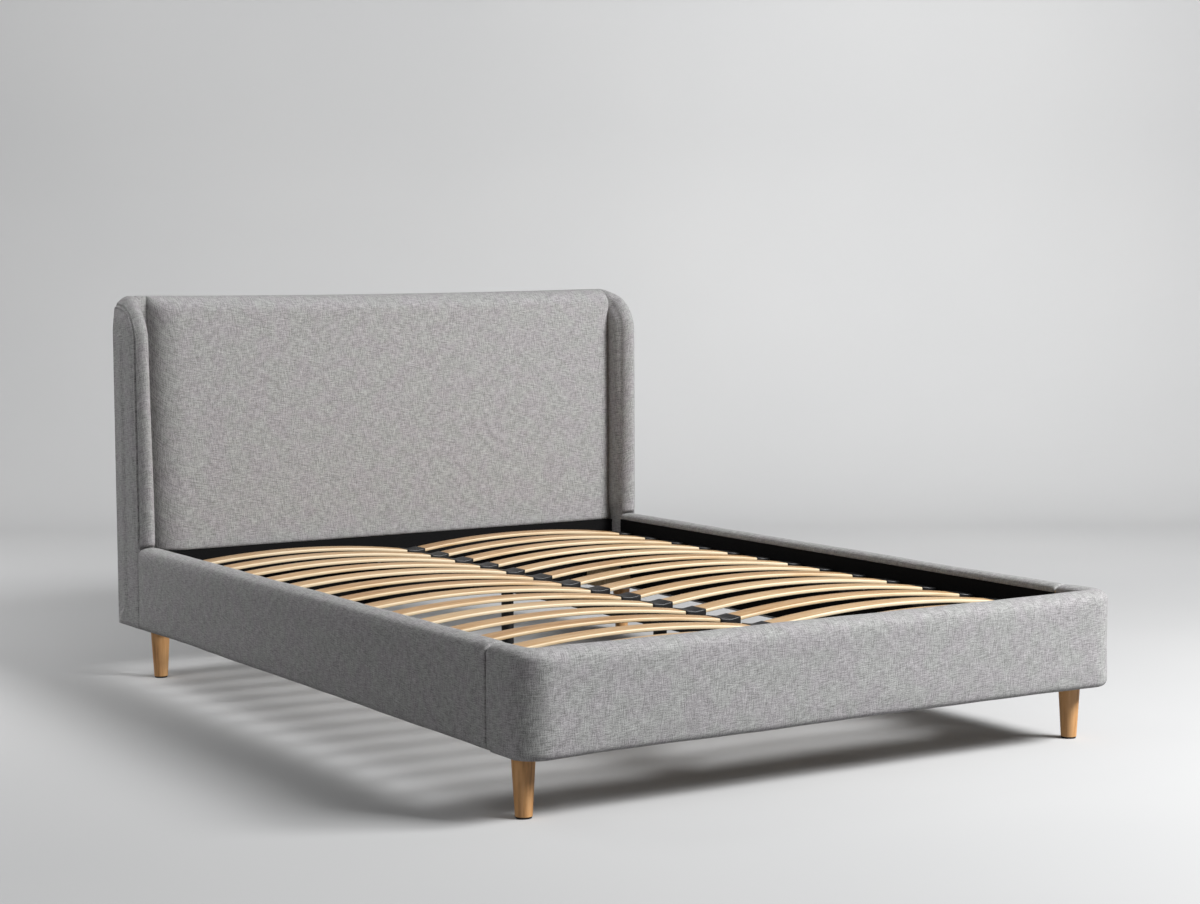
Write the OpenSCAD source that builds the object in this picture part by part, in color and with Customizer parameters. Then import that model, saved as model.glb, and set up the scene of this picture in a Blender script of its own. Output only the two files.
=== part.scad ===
// Upholstered double bed frame with a winged headboard and two rows of sprung slats.
// The origin is on the floor, under the middle of the bed. +Y points to the headboard, +Z up.

/* [Mattress] */
// Width of the mattress that the bed holds
mattress_w = 1350; // [1200:10:1500]
// Length of the mattress that the bed holds
mattress_l = 1900; // [1850:10:2050]
// Gap between the mattress and each side rail
side_gap = 8; // [4:1:16]
// Gap between the mattress and the headboard, and again at the foot
end_gap = 2; // [1:1:10]

/* [Padded rails] */
// Thickness of a padded rail, from its lining to its outer face
rail_t = 54; // [51:1:64]
// Height of a padded rail
rail_h = 207; // [190:1:240]
// Height of the rails' underside above the floor
rail_clear = 122; // [100:1:150]
// Thickness of the timber board in each rail
board_t = 38; // [30:1:40]
// Thickness of the black lining on the inside of the rails
lining_t = 1.5; // [1:0.5:3]
// Depth of the padding over the top of the board
pad_top = 14; // [10:1:18]
// Depth of the padding and webbing under the board
pad_under = 5; // [3:1:8]
// How far the cover comes down on the inside of the rail
cover_hem = 18; // [15:1:25]
// Rounding of the outer top edge
rail_top_r = 20; // [12:1:24]
// Rounding of the inner top edge
rail_lip_r = 12; // [6:1:14]
// Rounding of the outer bottom edge
rail_low_r = 14; // [6:1:18]
// Radius of the bed's foot corners, seen from above
corner_r = 75; // [66:1:90]
// How far the foot end's cover turns back along each side
return_l = 142; // [135:1:170]
// Width of the seam gap between the covers of two rails
seam_gap = 2; // [1:0.5:4]

/* [Headboard] */
// Height of the headboard above the floor
head_h = 950; // [850:10:1150]
// Thickness of the headboard, from its crown to its back
head_t = 92; // [86:1:110]
// Depth of the cushion at its crown, in front of the board
cushion_t = 54; // [46:1:58]
// How far the cushion's face falls back at its sides
cushion_fall = 44; // [30:1:46]
// How far the middle of the cushion stands forward of its edges
cushion_bulge = 2.5; // [0:0.5:4]
// Width of the rounding at each side of the cushion
cushion_side_r = 105; // [80:5:120]
// Radius of the roll at the cushion's top
cushion_top_r = 38; // [25:1:45]
// Radius of the cushion's bottom edge
cushion_low_r = 12; // [6:1:20]
// Height of the black strip that shows under the cushion
strip_h = 183; // [170:1:200]
// Thickness of the plywood panel behind the cushion
panel_t = 12; // [9:1:15]
// Depth of the padding over the top of the headboard's frame
head_pad = 20; // [16:1:26]
// Width of each upright post in the headboard
post_w = 67; // [50:1:80]
// Width of each cross rail between the posts
cross_w = 60; // [45:1:75]
// Glue line between a cross rail and a post
glue_gap = 0.1; // [0.05:0.05:0.2]
// Thickness of the cloth over the headboard's back
back_cover_t = 2; // [1:0.5:4]

/* [Wings] */
// Thickness of each wing of the headboard
wing_t = 47; // [44:1:54]
// Depth of a wing's side panel, from the back to its front seam
wing_d = 143; // [130:1:160]
// How far the rounded front of a wing stands forward of its seam
wing_nose = 24; // [14:1:30]
// How far the rounded top of a wing stands above its seam
wing_crown = 19; // [12:1:24]
// Length of the curve at the wing's top corner, along the bed
wing_sweep_y = 125; // [90:1:128]
// Height of the curve at the wing's top corner
wing_sweep_z = 95; // [70:1:120]
// How far the side panel falls in from its middle to its seam
wing_fall = 6; // [3:1:8]
// Thickness of the board in each wing
wing_board_t = 18; // [12:1:20]
// Padding between a wing's board and its seam
wing_pad = 14; // [10:1:18]

/* [Slats] */
// Number of slats in each of the two rows
slat_count = 14; // [12:1:16]
// Distance from each end of the bed's inside to the middle of the nearest slat
slat_row_end = 107; // [95:1:120]
// Width of a slat
slat_w = 53; // [40:1:60]
// Thickness of a slat
slat_t = 8; // [6:0.5:10]
// Rise of a slat's middle above its ends
slat_bow = 24; // [10:1:30]
// Height of a slat's underside at its ends, above the ledge
slat_seat = 6.6; // [6:0.2:12]
// Distance from the bed's middle to a slat's inner end, beyond half of the cap's stop
slat_end_gap = 1; // [0.5:0.5:3]
// How far a slat's end goes into its cap
cap_grip = 28; // [18:1:32]
// Length of a side cap, across the bed
cap_l = 40; // [36:1:44]
// Gap between a side cap and the rail
cap_off = 15; // [12:1:18]
// Wall of a cap beside and above the slat
cap_wall = 2.5; // [2:0.5:5]
// Gap all round between a slat and its cap
cap_fit = 0.3; // [0.2:0.1:0.6]
// Thickness of the stop between the two slats in a centre cap
cap_web = 6; // [4:1:10]
// Diameter of the peg under each cap
peg_d = 8; // [6:0.5:9]
// Length of the peg below the ledge
peg_l = 9; // [6:1:14]
// Distance of a side cap's peg from the middle of the cap
peg_off = 8; // [4:1:12]

/* [Steelwork] */
// Height of the ledges that the slats stand on, above the floor
ledge_z = 264; // [250:1:275]
// Width of each flange of the side ledges
ledge_w = 40; // [36:1:44]
// Gap between a side ledge and the foot rail
ledge_front_gap = 2; // [1:1:6]
// Distance of a side ledge's other end from the wing's seam
ledge_back_gap = 8; // [2:1:20]
// Thickness of the ledges and brackets
steel_t = 3; // [2:0.5:4]
// Width of the centre rail
centre_w = 60; // [46:1:66]
// Height of the centre rail
centre_h = 30; // [25:1:40]
// Wall of the centre rail's tube
tube_wall = 2; // [1.5:0.5:3]
// Gap at each end of the centre rail and between it and its hangers
tube_fit = 0.3; // [0.2:0.1:0.6]
// Length that a hanger carries at each end of the centre rail
hanger_l = 50; // [35:1:70]
// Height of a hanger's plate
hanger_plate_h = 40; // [36:1:44]
// How far a hanger's plate reaches below the centre rail
hanger_drop = 14; // [10:1:18]
// Width of a hanger's plate at each side of its cradle
hanger_ear = 18; // [16:1:24]
// Height of a hanger's cheeks beside the centre rail
hanger_cheek_h = 24; // [15:1:28]
// Height of the brackets that join the rails
bracket_h = 42; // [30:1:45]
// Height of the brackets' underside above the floor
bracket_z = 180; // [176:1:182]
// Length of a bracket beyond its last bolt
bracket_end = 20; // [15:1:24]
// Number of screws that hold each side ledge
ledge_screws = 6; // [4:1:9]

/* [Legs] */
// Diameter of a leg at its top
leg_top_d = 47.5; // [40:0.5:60]
// Diameter of a leg at its bottom
leg_low_d = 33.5; // [25:0.5:40]
// Distance of the legs' centres from the bed's side faces
leg_inset = 55; // [50:1:60]
// Distance of the foot legs' centres from the foot face
leg_foot_in = 94; // [88:1:95]
// Distance of the head legs' centres from the headboard's back
leg_head_in = 150; // [140:1:160]
// Height of the glide under each leg
glide_h = 4; // [3:0.5:8]
// Width of the square plate that each leg screws into
plate_w = 90; // [80:1:96]
// Distance of the plate's screws from its edges
plate_screw_in = 12; // [9:1:15]
// Diameter of the bolt in each leg
leg_bolt_d = 8; // [6:1:10]
// Depth of the bolt in the leg
leg_bolt_in = 40; // [25:1:50]
// Width of the block beside each leg plate
block_w = 77; // [60:1:90]
// Height of the block beside each leg plate
block_h = 46; // [35:1:48]

/* [Centre legs] */
// Distance of each centre leg from the middle of the slats
centre_leg_y = 340; // [250:5:450]
// Outside diameter of a centre leg
centre_leg_d = 30; // [25:1:35]
// Width of the plate on top of a centre leg
centre_plate_w = 44; // [36:1:48]
// Length of the plate on top of a centre leg
centre_plate_l = 74; // [70:1:90]
// Height of a centre leg's lower end above the floor
centre_leg_z = 26; // [24:1:34]
// Depth of the threaded bush in a centre leg's lower end
bush_h = 12; // [10:1:20]
// Diameter of the levelling foot's screw
foot_screw_d = 10; // [8:1:12]
// Diameter of the levelling foot's pad
foot_pad_d = 44; // [35:1:55]
// Height of the levelling foot's pad
foot_pad_h = 8; // [6:1:10]
// Width across the corners of the levelling foot's nut
foot_nut_d = 17; // [15:1:22]
// Height of the levelling foot's nut
foot_nut_h = 5; // [4:1:6]
// Height of the levelling foot's screw above the floor
foot_screw_h = 62; // [56:1:90]
// Running gap round the levelling foot's screw
foot_fit = 0.05; // [0.02:0.01:0.1]

/* [Fasteners] */
// Diameter of the bolts through the brackets
bolt_d = 6; // [5:1:8]
// Length of the bolts through the brackets
bolt_l = 34; // [30:1:38]
// Diameter of the screws in the leg plates
screw_d = 4; // [3:0.5:5]
// Length of the screws in the leg plates
screw_l = 22; // [16:1:30]
// Diameter of the screws that hold the ledges
ledge_screw_d = 5; // [4:0.5:6]
// Length of the screws that hold the ledges
ledge_screw_l = 26; // [20:1:34]
// Gap between a fastener and its hole
hole_fit = 0.1; // [0.05:0.05:0.3]

/* [Hidden] */
$fn = 48;
inner_x = mattress_w / 2 + side_gap;
outer_x = inner_x + rail_t;
bed_l = mattress_l + 2 * end_gap + rail_t + head_t;
foot_y = -bed_l / 2;
head_y = bed_l / 2;
foot_in_y = foot_y + rail_t;
crown_y = head_y - head_t;
return_y = foot_y + return_l;
wing_seam_y = head_y - wing_d;
rail_top = rail_clear + rail_h;
board_z = rail_clear + pad_under;
board_h = rail_h - pad_under - pad_top;
hem_z = rail_top - cover_hem;
board_x = inner_x + lining_t;

// Headboard, from front to back
panel_y = crown_y + cushion_t;
frame_y = panel_y + panel_t;
back_y = head_y - back_cover_t;
strip_z = rail_clear + strip_h;
frame_top = head_h - head_pad;
strip_y = crown_y + 2;
top_chamfer = 8;
wing_in_x = outer_x - wing_t;
wing_board_x = outer_x - (wing_t + wing_board_t) / 2;
sweep_c = [wing_seam_y + wing_sweep_y, head_h - wing_crown - wing_sweep_z];

// Slats
slat_mid_y = (foot_in_y + crown_y) / 2;
slat_pitch = (crown_y - foot_in_y - 2 * slat_row_end) / (slat_count - 1);
slat_in = cap_web / 2 + slat_end_gap;
cap_x = inner_x - cap_off - cap_l / 2;
slat_out = cap_x - cap_l / 2 + cap_grip;
slat_half = (slat_out - slat_in) / 2;
slat_r = (pow(slat_half, 2) + pow(slat_bow, 2)) / (2 * slat_bow);
slat_angle = 2 * asin(slat_half / slat_r);
cap_w = slat_w + 2 * (cap_wall + cap_fit);
grip_rise = sqrt(pow(slat_r, 2) - pow(slat_half - cap_grip, 2)) - (slat_r - slat_bow);
cap_h = slat_seat + slat_t + cap_wall + grip_rise;
cap_low = slat_seat + slat_t + cap_wall;
centre_cap_l = 2 * (slat_in + cap_grip);
function slat_y(i) = slat_mid_y + (slat_count - 1) / 2 * slat_pitch - i * slat_pitch;

// Steelwork and legs
tube_z = ledge_z - centre_h;
ledge_front_y = foot_in_y + ledge_front_gap;
ledge_back_y = wing_seam_y - ledge_back_gap;
leg_x = outer_x - leg_inset;
leg_ys = [foot_y + leg_foot_in, head_y - leg_head_in];
bush_top = centre_leg_z + bush_h;
leg_screw_off = plate_w / 2 - plate_screw_in;
hanger_z = tube_z - hanger_drop;
SIDES = [-1, 1];
SLAT_SIDES = ["left", "right"];

// Each fastener is [place, direction, shaft diameter, shaft length, [head diameter, head height]]
bolt_head = [12, 3];
screw_head = [9, 2.5];
flush = [0, 0];
bolt_rows = [22.5, 57.5];
bolt_mid_z = bracket_z + bracket_h / 2;
ledge_screw_end = 60;
tube_bolt_y = 26;
tube_bolt_l = 14;
side_bolts = [
  for (s = SIDES, b = bolt_rows, y = [return_y - b, return_y + b, wing_seam_y - b])
    [[s * (inner_x - steel_t), y, bolt_mid_z], [s, 0, 0], bolt_d, bolt_l, bolt_head]
];
end_bolts = [
  for (s = SIDES, b = bolt_rows)
    [[s * (inner_x - b), strip_y - steel_t, bolt_mid_z], [0, 1, 0], bolt_d, bolt_l, bolt_head]
];
ledge_bolts = [
  for (s = SIDES, i = [0:ledge_screws - 1]) let (
    reach = ledge_back_y - ledge_front_y - 2 * ledge_screw_end,
    y = ledge_front_y + ledge_screw_end + i * reach / (ledge_screws - 1))
    [[s * (inner_x - steel_t), y, ledge_z - ledge_w / 2], [s, 0, 0], ledge_screw_d, ledge_screw_l, screw_head]
];
hanger_bolts = [
  for (x = [-1, 1] * (centre_w / 2 + steel_t + hanger_ear / 2), end = [0, 1])
    [[x, end == 0 ? foot_in_y + steel_t : strip_y - steel_t, hanger_z + hanger_plate_h / 2],
     [0, end == 0 ? -1 : 1, 0], bolt_d, bolt_l, bolt_head]
];
plate_screws = [
  for (s = SIDES, y = leg_ys, dx = [-1, 1] * leg_screw_off, dy = [-1, 1] * leg_screw_off)
    [[s * leg_x + dx, y + dy, rail_clear], [0, 0, 1], screw_d, screw_l, flush]
];
leg_bolts = [
  for (s = SIDES, y = leg_ys)
    [[s * leg_x, y, rail_clear - leg_bolt_in], [0, 0, 1], leg_bolt_d, leg_bolt_in + pad_under, flush]
];
tube_bolts = [
  for (y = [-1, 1] * centre_leg_y, dy = [-1, 1] * tube_bolt_y)
    [[0, slat_mid_y + y + dy, tube_z - steel_t], [0, 0, 1], bolt_d, tube_bolt_l, bolt_head]
];

slat_names = [for (side = SLAT_SIDES, i = [1:slat_count]) str("slat_", side, "_", i < 10 ? "0" : "", i)];

fabric = "#a3a1a0";
black_cloth = "#1c1b1b";
pine = "#d8bd8e";
birch = "#e6c79b";
oak = "#b98a55";
black_steel = "#222224";
black_plastic = "#151515";
zinc = "#b9bcc0";

// Points of an arc about c with radii r, from angle a0 to a1
function arc(c, r, a0, a1, n = 8) =
  [for (i = [0:n]) let (a = a0 + (a1 - a0) * i / n) c + [r[0] * cos(a), r[1] * sin(a)]];

// Both sides of the bed, mirrored
module both_sides() {
  children();
  mirror([1, 0, 0]) children();
}

// One side: -1 is the left, seen from the foot
module on_side(s) {
  if (s < 0) mirror([1, 0, 0]) children();
  else children();
}

// A fastener, or the hole for it when gap is more than 0
module fastener(f, gap = 0) {
  d = f[1];
  head = f[4];
  over = gap > 0 ? 0.5 : 0;
  turn = d[2] != 0 ? [0, 0, 0] : d[0] != 0 ? [0, 90 * d[0], 0] : [-90 * d[1], 0, 0];
  translate(f[0]) rotate(turn) {
    translate([0, 0, -over]) cylinder(d = f[2] + 2 * gap, h = f[3] + 2 * over);
    if (head[0] > 0 && gap == 0) translate([0, 0, -head[1]]) cylinder(d = head[0], h = head[1]);
  }
}

module holes(list) {
  for (f = list) fastener(f, hole_fit);
}

// Outline of a padded rail: 0 is its inner face
function rail_outline(inner) = concat(
  [[inner, rail_clear]],
  arc([rail_t - rail_low_r, rail_clear + rail_low_r], [rail_low_r, rail_low_r], -90, 0),
  arc([rail_t - rail_top_r, rail_top - rail_top_r], [rail_top_r, rail_top_r], 0, 90)
);

module rail_bar(length) {
  rotate([90, 0, 0]) linear_extrude(length)
    polygon(concat(rail_outline(0),
                   arc([rail_lip_r, rail_top - rail_lip_r], [rail_lip_r, rail_lip_r], 90, 180)));
}

// Plan of the foot end as a U, set in from the outer face by a and standing b thick
module foot_plan(a, b, end_y) {
  r = corner_r - a;
  x = outer_x - a;
  y = foot_y + a;
  difference() {
    polygon(concat([[-x, end_y]],
                   arc([-x + r, y + r], [r, r], 180, 270),
                   arc([x - r, y + r], [r, r], 270, 360),
                   [[x, end_y]]));
    translate([-(x - b), y + b]) square([2 * (x - b), end_y - y]);
  }
}

module foot_board_shape() {
  translate([0, 0, board_z]) linear_extrude(board_h)
    foot_plan(rail_t - lining_t - board_t, board_t, return_y);
}

module foot_lining_shape() {
  translate([0, 0, board_z]) linear_extrude(hem_z - board_z) difference() {
    translate([-board_x, foot_in_y - lining_t]) square([2 * board_x, return_y - foot_in_y + lining_t]);
    translate([-inner_x, foot_in_y]) square([2 * inner_x, return_y - foot_in_y + 1]);
  }
}

module leg_plate_shape() {
  for (y = leg_ys)
    translate([leg_x - plate_w / 2, y - plate_w / 2, rail_clear]) cube([plate_w, plate_w, pad_under]);
}

// Foot end
module foot_rail_board() {
  color(pine) difference() {
    foot_board_shape();
    holes([for (f = concat(side_bolts, ledge_bolts)) if (f[0][1] < return_y) f]);
    holes([for (f = concat(hanger_bolts, plate_screws)) if (f[0][1] < 0) f]);
  }
}

module foot_corner() {
  translate([outer_x - corner_r, foot_y + corner_r, 0]) rotate([0, 0, -90]) rotate_extrude(angle = 90)
    translate([corner_r - rail_t, 0])
      polygon(concat(rail_outline(rail_t - corner_r), [[rail_t - corner_r, rail_top]]));
}

module foot_rail_cover() {
  straight = 2 * (outer_x - corner_r);
  color(fabric) difference() {
    union() {
      translate([straight / 2, foot_in_y, 0]) rotate([0, 0, -90]) rail_bar(straight);
      both_sides() {
        foot_corner();
        translate([inner_x, return_y, 0]) rail_bar(return_y - foot_y - corner_r);
      }
    }
    translate([-inner_x, foot_in_y, 0]) cube([2 * inner_x, return_l, 2 * rail_top]);
    foot_board_shape();
    foot_lining_shape();
    both_sides() leg_plate_shape();
  }
}

// Side rails
module side_rail_board(s) {
  color(pine) difference() {
    on_side(s) translate([board_x, return_y, board_z]) cube([board_t, wing_seam_y - return_y, board_h]);
    holes([for (f = concat(side_bolts, ledge_bolts)) if (f[0][1] > return_y) f]);
    holes([for (f = plate_screws) if (f[0][1] > 0) f]);
  }
}

module side_rail_cover(s) {
  color(fabric) on_side(s) difference() {
    translate([inner_x, wing_seam_y - seam_gap, 0]) rail_bar(wing_seam_y - return_y - 2 * seam_gap);
    translate([inner_x - 1, return_y, board_z]) cube([lining_t + 1, wing_seam_y - return_y, hem_z - board_z]);
    translate([board_x, return_y, board_z]) cube([board_t, wing_seam_y - return_y, board_h]);
    leg_plate_shape();
  }
}

module rail_linings() {
  color(black_cloth) difference() {
    union() {
      foot_lining_shape();
      both_sides() translate([inner_x, return_y + seam_gap, board_z])
        cube([lining_t, wing_seam_y - return_y - 2 * seam_gap, hem_z - board_z]);
    }
    holes(side_bolts);
    holes(ledge_bolts);
    holes([for (f = hanger_bolts) if (f[0][1] < 0) f]);
  }
}

// Wing: its side panel ends at a seam, and a rounded band goes from there to the inner face.
// Points of the side view at a distance d outside the seam, as a share of the band's depth
wing_steps = 9;
function wing_front(z) = wing_nose * (1 - 0.3 * pow((z - rail_top) / (sweep_c[1] - rail_top), 2));
function wing_points(front, top, inset) = concat(
  [[back_y, rail_clear], [wing_seam_y + inset, rail_clear], [wing_seam_y + inset, rail_top]],
  [for (i = [0:wing_steps]) let (z = rail_top + (sweep_c[1] - rail_top) * i / wing_steps)
    [wing_seam_y + inset - front * wing_front(z), z]],
  [for (i = [1:wing_steps]) let (
     a = 180 - 90 * i / wing_steps,
     k = i / wing_steps,
     reach = (1 - k) * front * wing_front(sweep_c[1]) + k * top * wing_crown - inset)
    sweep_c + [(sweep_c[0] - wing_seam_y + reach) * cos(a), (wing_sweep_z + reach) * sin(a)]],
  [[back_y, sweep_c[1] + wing_sweep_z + top * wing_crown - inset]]
);

// Layers of the wing from its outer face inwards:
// [distance in from the bed's side, share of the band, distance inside the seam]
wing_layers = concat(
  [[0, 0, 22], [wing_fall * 0.4, 0, 9], [wing_fall, 0, 0]],
  [for (i = [1:7]) let (a = 20 + 20 * i)
    [wing_fall + (wing_t - wing_fall) * (1 - cos(a)) / (1 - cos(160)), sin(min(a, 150)), 0]]
);

// A closed skin over rings that all have the same number of points
module skin(rings) {
  n = len(rings[0]);
  m = len(rings);
  polyhedron(
    points = [for (r = rings) each r],
    faces = concat(
      [[for (i = [0:n - 1]) i]],
      [for (k = [0:m - 2], i = [0:n - 1]) let (j = (i + 1) % n)
        each [[k * n + i, (k + 1) * n + i, (k + 1) * n + j], [k * n + i, (k + 1) * n + j, k * n + j]]],
      [[for (i = [n - 1:-1:0]) (m - 1) * n + i]]
    )
  );
}

module wing_board_shape() {
  translate([wing_board_x, 0, 0]) rotate([90, 0, 90]) linear_extrude(wing_board_t) intersection() {
    polygon(wing_points(0, 0, wing_pad));
    translate([0, board_z]) square([head_y, head_h]);
  }
}

module post_shape(gap = 0) {
  translate([wing_board_x - post_w, frame_y, board_z])
    cube([post_w, back_y - frame_y + gap, frame_top - board_z]);
}

module headboard_wing(s) {
  color(fabric) on_side(s) difference() {
    skin([for (w = wing_layers) [for (p = wing_points(w[1], w[1], w[2])) [outer_x - w[0], p[0], p[1]]]]);
    wing_board_shape();
    post_shape(1);
    leg_plate_shape();
  }
}

module wing_boards() {
  color(pine) difference() {
    both_sides() wing_board_shape();
    holes([for (f = plate_screws) if (f[0][1] > 0) f]);
  }
}

// Headboard cushion: its face is crowned, falls back at both sides, and rolls over the top
cushion_stations = 11;
function cushion_back(x) =
  let (t = max(0, (abs(x) - (wing_in_x - cushion_side_r)) / cushion_side_r))
    cushion_fall * (1 - sqrt(max(0, 1 - t * t))) + cushion_bulge * pow(x / wing_in_x, 2);
function cushion_section(x) = let (
  front = crown_y + min(cushion_back(x), cushion_t - 2),
  roll = [panel_y + 6 - front, cushion_top_r]
) concat(
  [[back_y, strip_z]],
  arc([front + cushion_low_r, strip_z + cushion_low_r], [cushion_low_r, cushion_low_r], 270, 180, 2),
  [for (k = [0.25, 0.5, 0.75])
    [front - cushion_bulge * sin(180 * k), strip_z + (head_h - cushion_top_r - strip_z) * k]],
  arc([front + roll[0], head_h - cushion_top_r], roll, 180, 90, 7),
  [[back_y - top_chamfer, head_h], [back_y, head_h - top_chamfer]]
);
cushion_xs = let (
  half = [for (i = [0:cushion_stations]) let (k = i / cushion_stations)
            k < 0.4 ? (wing_in_x - cushion_side_r) * k / 0.4
                    : wing_in_x - cushion_side_r + cushion_side_r * sin(90 * (k - 0.4) / 0.6)]
) concat([for (i = [cushion_stations:-1:1]) -half[i]], half);

module headboard_cushion() {
  color(fabric) difference() {
    skin([for (i = [len(cushion_xs) - 1:-1:0]) let (x = cushion_xs[i])
            [for (p = cushion_section(x)) [x, p[0], p[1]]]]);
    translate([-wing_in_x - 1, panel_y, strip_z - 1])
      cube([2 * wing_in_x + 2, back_y - panel_y + 1, frame_top - strip_z + 1]);
  }
}

module headboard_panel() {
  color(pine) translate([-wing_in_x, panel_y, strip_z])
    cube([2 * wing_in_x, panel_t, frame_top - strip_z]);
}

module headboard_frame() {
  span = 2 * (wing_board_x - post_w - glue_gap);
  color(pine) {
    both_sides() post_shape();
    for (z = [board_z, (board_z + frame_top - cross_w) / 2, frame_top - cross_w])
      translate([-span / 2, frame_y, z]) cube([span, back_y - frame_y, cross_w]);
  }
}

module headboard_lower_rail() {
  color(black_cloth) difference() {
    translate([-wing_in_x, strip_y, board_z]) cube([2 * wing_in_x, frame_y - strip_y, strip_z - board_z]);
    holes(end_bolts);
    holes([for (f = hanger_bolts) if (f[0][1] > 0) f]);
  }
}

module headboard_back_cover() {
  edge = 12;
  r = 50;
  w = 2 * (outer_x - edge);
  h = head_h - rail_clear - 2 * edge;
  color(black_cloth) translate([0, back_y, rail_clear + edge]) rotate([90, 0, 180])
    linear_extrude(back_cover_t)
      polygon(concat([[w / 2, 0], [w / 2, h - r]],
                     arc([w / 2 - r, h - r], [r, r], 0, 90),
                     arc([-w / 2 + r, h - r], [r, r], 90, 180),
                     [[-w / 2, 0]]));
}

// Slats and caps
module slat_shape(gap = 0) {
  spread = gap > 0 ? 4 * gap / slat_r * 180 / PI : 0;
  translate([(slat_in + slat_out) / 2, 0, ledge_z + slat_seat + slat_bow - slat_r])
    rotate([90, 0, 0]) rotate([0, 0, 90 - slat_angle / 2 - spread])
      rotate_extrude(angle = slat_angle + 2 * spread, $fn = 360)
        translate([slat_r - gap, -slat_w / 2 - gap]) square([slat_t + 2 * gap, slat_w + 2 * gap]);
}

module slat(s, i) {
  color(birch) translate([0, slat_y(i), 0]) on_side(s) slat_shape();
}

// Body of a cap before the slat's place is cut out of it. The points of its top line run from
// the right end to the left one: the top falls with the slat, from the mouth to the stop.
module cap_block(top, peg) {
  slope = 2;
  right = top[0].x;
  left = top[len(top) - 1].x;
  intersection() {
    rotate([90, 0, 90]) translate([0, 0, left]) linear_extrude(right - left)
      polygon([[-cap_w / 2, 0], [cap_w / 2, 0], [cap_w / 2, cap_h - slope], [cap_w / 2 - slope, cap_h],
               [-cap_w / 2 + slope, cap_h], [-cap_w / 2, cap_h - slope]]);
    rotate([90, 0, 0]) translate([0, 0, -cap_w / 2]) linear_extrude(cap_w)
      polygon(concat([[left, 0], [right, 0]], top));
  }
  translate([peg, 0, -steel_t - peg_l]) cylinder(d = peg_d, h = steel_t + peg_l + 1);
}

module side_caps() {
  end = cap_l / 2;
  top = [[end, cap_low], [cap_grip - end, cap_low], [-end, cap_h]];
  color(black_plastic) for (s = SIDES, i = [0:slat_count - 1])
    translate([0, slat_y(i), 0]) on_side(s) difference() {
      translate([cap_x, 0, ledge_z]) cap_block(top, peg_off);
      slat_shape(cap_fit);
    }
}

module centre_caps() {
  mouth = centre_cap_l / 2;
  stop = cap_web / 2;
  top = [[mouth, cap_h], [stop, cap_low], [-stop, cap_low], [-mouth, cap_h]];
  color(black_plastic) for (i = [0:slat_count - 1])
    translate([0, slat_y(i), 0]) difference() {
      translate([0, 0, ledge_z]) cap_block(top, 0);
      both_sides() slat_shape(cap_fit);
    }
}

// Steelwork
module slat_ledge(s) {
  color(black_steel) difference() {
    on_side(s) difference() {
      union() {
        translate([inner_x - ledge_w, ledge_front_y, ledge_z - steel_t])
          cube([ledge_w, ledge_back_y - ledge_front_y, steel_t]);
        translate([inner_x - steel_t, ledge_front_y, ledge_z - ledge_w])
          cube([steel_t, ledge_back_y - ledge_front_y, ledge_w]);
      }
      for (i = [0:slat_count - 1])
        translate([cap_x + peg_off, slat_y(i), ledge_z - steel_t - 1])
          cylinder(d = peg_d + 2 * hole_fit, h = steel_t + 2);
    }
    holes(ledge_bolts);
  }
}

module centre_rail() {
  length = strip_y - foot_in_y - 2 * (steel_t + tube_fit);
  color(black_steel) difference() {
    translate([-centre_w / 2, foot_in_y + steel_t + tube_fit, tube_z]) cube([centre_w, length, centre_h]);
    translate([-centre_w / 2 + tube_wall, foot_in_y, tube_z + tube_wall])
      cube([centre_w - 2 * tube_wall, 2 * length, centre_h - 2 * tube_wall]);
    for (i = [0:slat_count - 1])
      translate([0, slat_y(i), ledge_z - tube_wall - 1])
        cylinder(d = peg_d + 2 * hole_fit, h = tube_wall + 2);
    holes(tube_bolts);
  }
}

// Hanger under the end of the centre rail: its back plate is at y = 0
module hanger() {
  cheek_x = centre_w / 2 + tube_fit;
  plate_x = cheek_x + steel_t + hanger_ear;
  translate([-plate_x, 0, hanger_z]) cube([2 * plate_x, steel_t, hanger_plate_h]);
  translate([-cheek_x - steel_t, steel_t, tube_z - steel_t])
    cube([2 * (cheek_x + steel_t), hanger_l, steel_t]);
  both_sides() translate([cheek_x, steel_t, tube_z]) cube([steel_t, hanger_l, hanger_cheek_h]);
}

module frame_brackets() {
  arm = bolt_rows[1] + bracket_end;
  color(black_steel) difference() {
    union() {
      translate([0, foot_in_y, 0]) hanger();
      translate([0, strip_y, 0]) mirror([0, 1, 0]) hanger();
      both_sides() {
        translate([inner_x - steel_t, return_y - arm, bracket_z]) cube([steel_t, 2 * arm, bracket_h]);
        translate([inner_x - steel_t, wing_seam_y - arm, bracket_z])
          cube([steel_t, strip_y - wing_seam_y + arm, bracket_h]);
        translate([inner_x - arm, strip_y - steel_t, bracket_z])
          cube([arm - steel_t, steel_t, bracket_h]);
      }
    }
    holes(side_bolts);
    holes(end_bolts);
    holes(hanger_bolts);
  }
}

// Legs
module leg(s, y) {
  color(oak) difference() {
    translate([s * leg_x, y, glide_h]) cylinder(d1 = leg_low_d, d2 = leg_top_d, h = rail_clear - glide_h);
    holes(leg_bolts);
  }
}

module leg_glides() {
  color(black_plastic) for (s = SIDES, y = leg_ys)
    translate([s * leg_x, y, 0]) cylinder(d1 = leg_low_d - 3, d2 = leg_low_d - 1, h = glide_h);
}

module leg_plates() {
  color(zinc) difference() {
    both_sides() leg_plate_shape();
    holes(leg_bolts);
    holes(plate_screws);
  }
}

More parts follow.
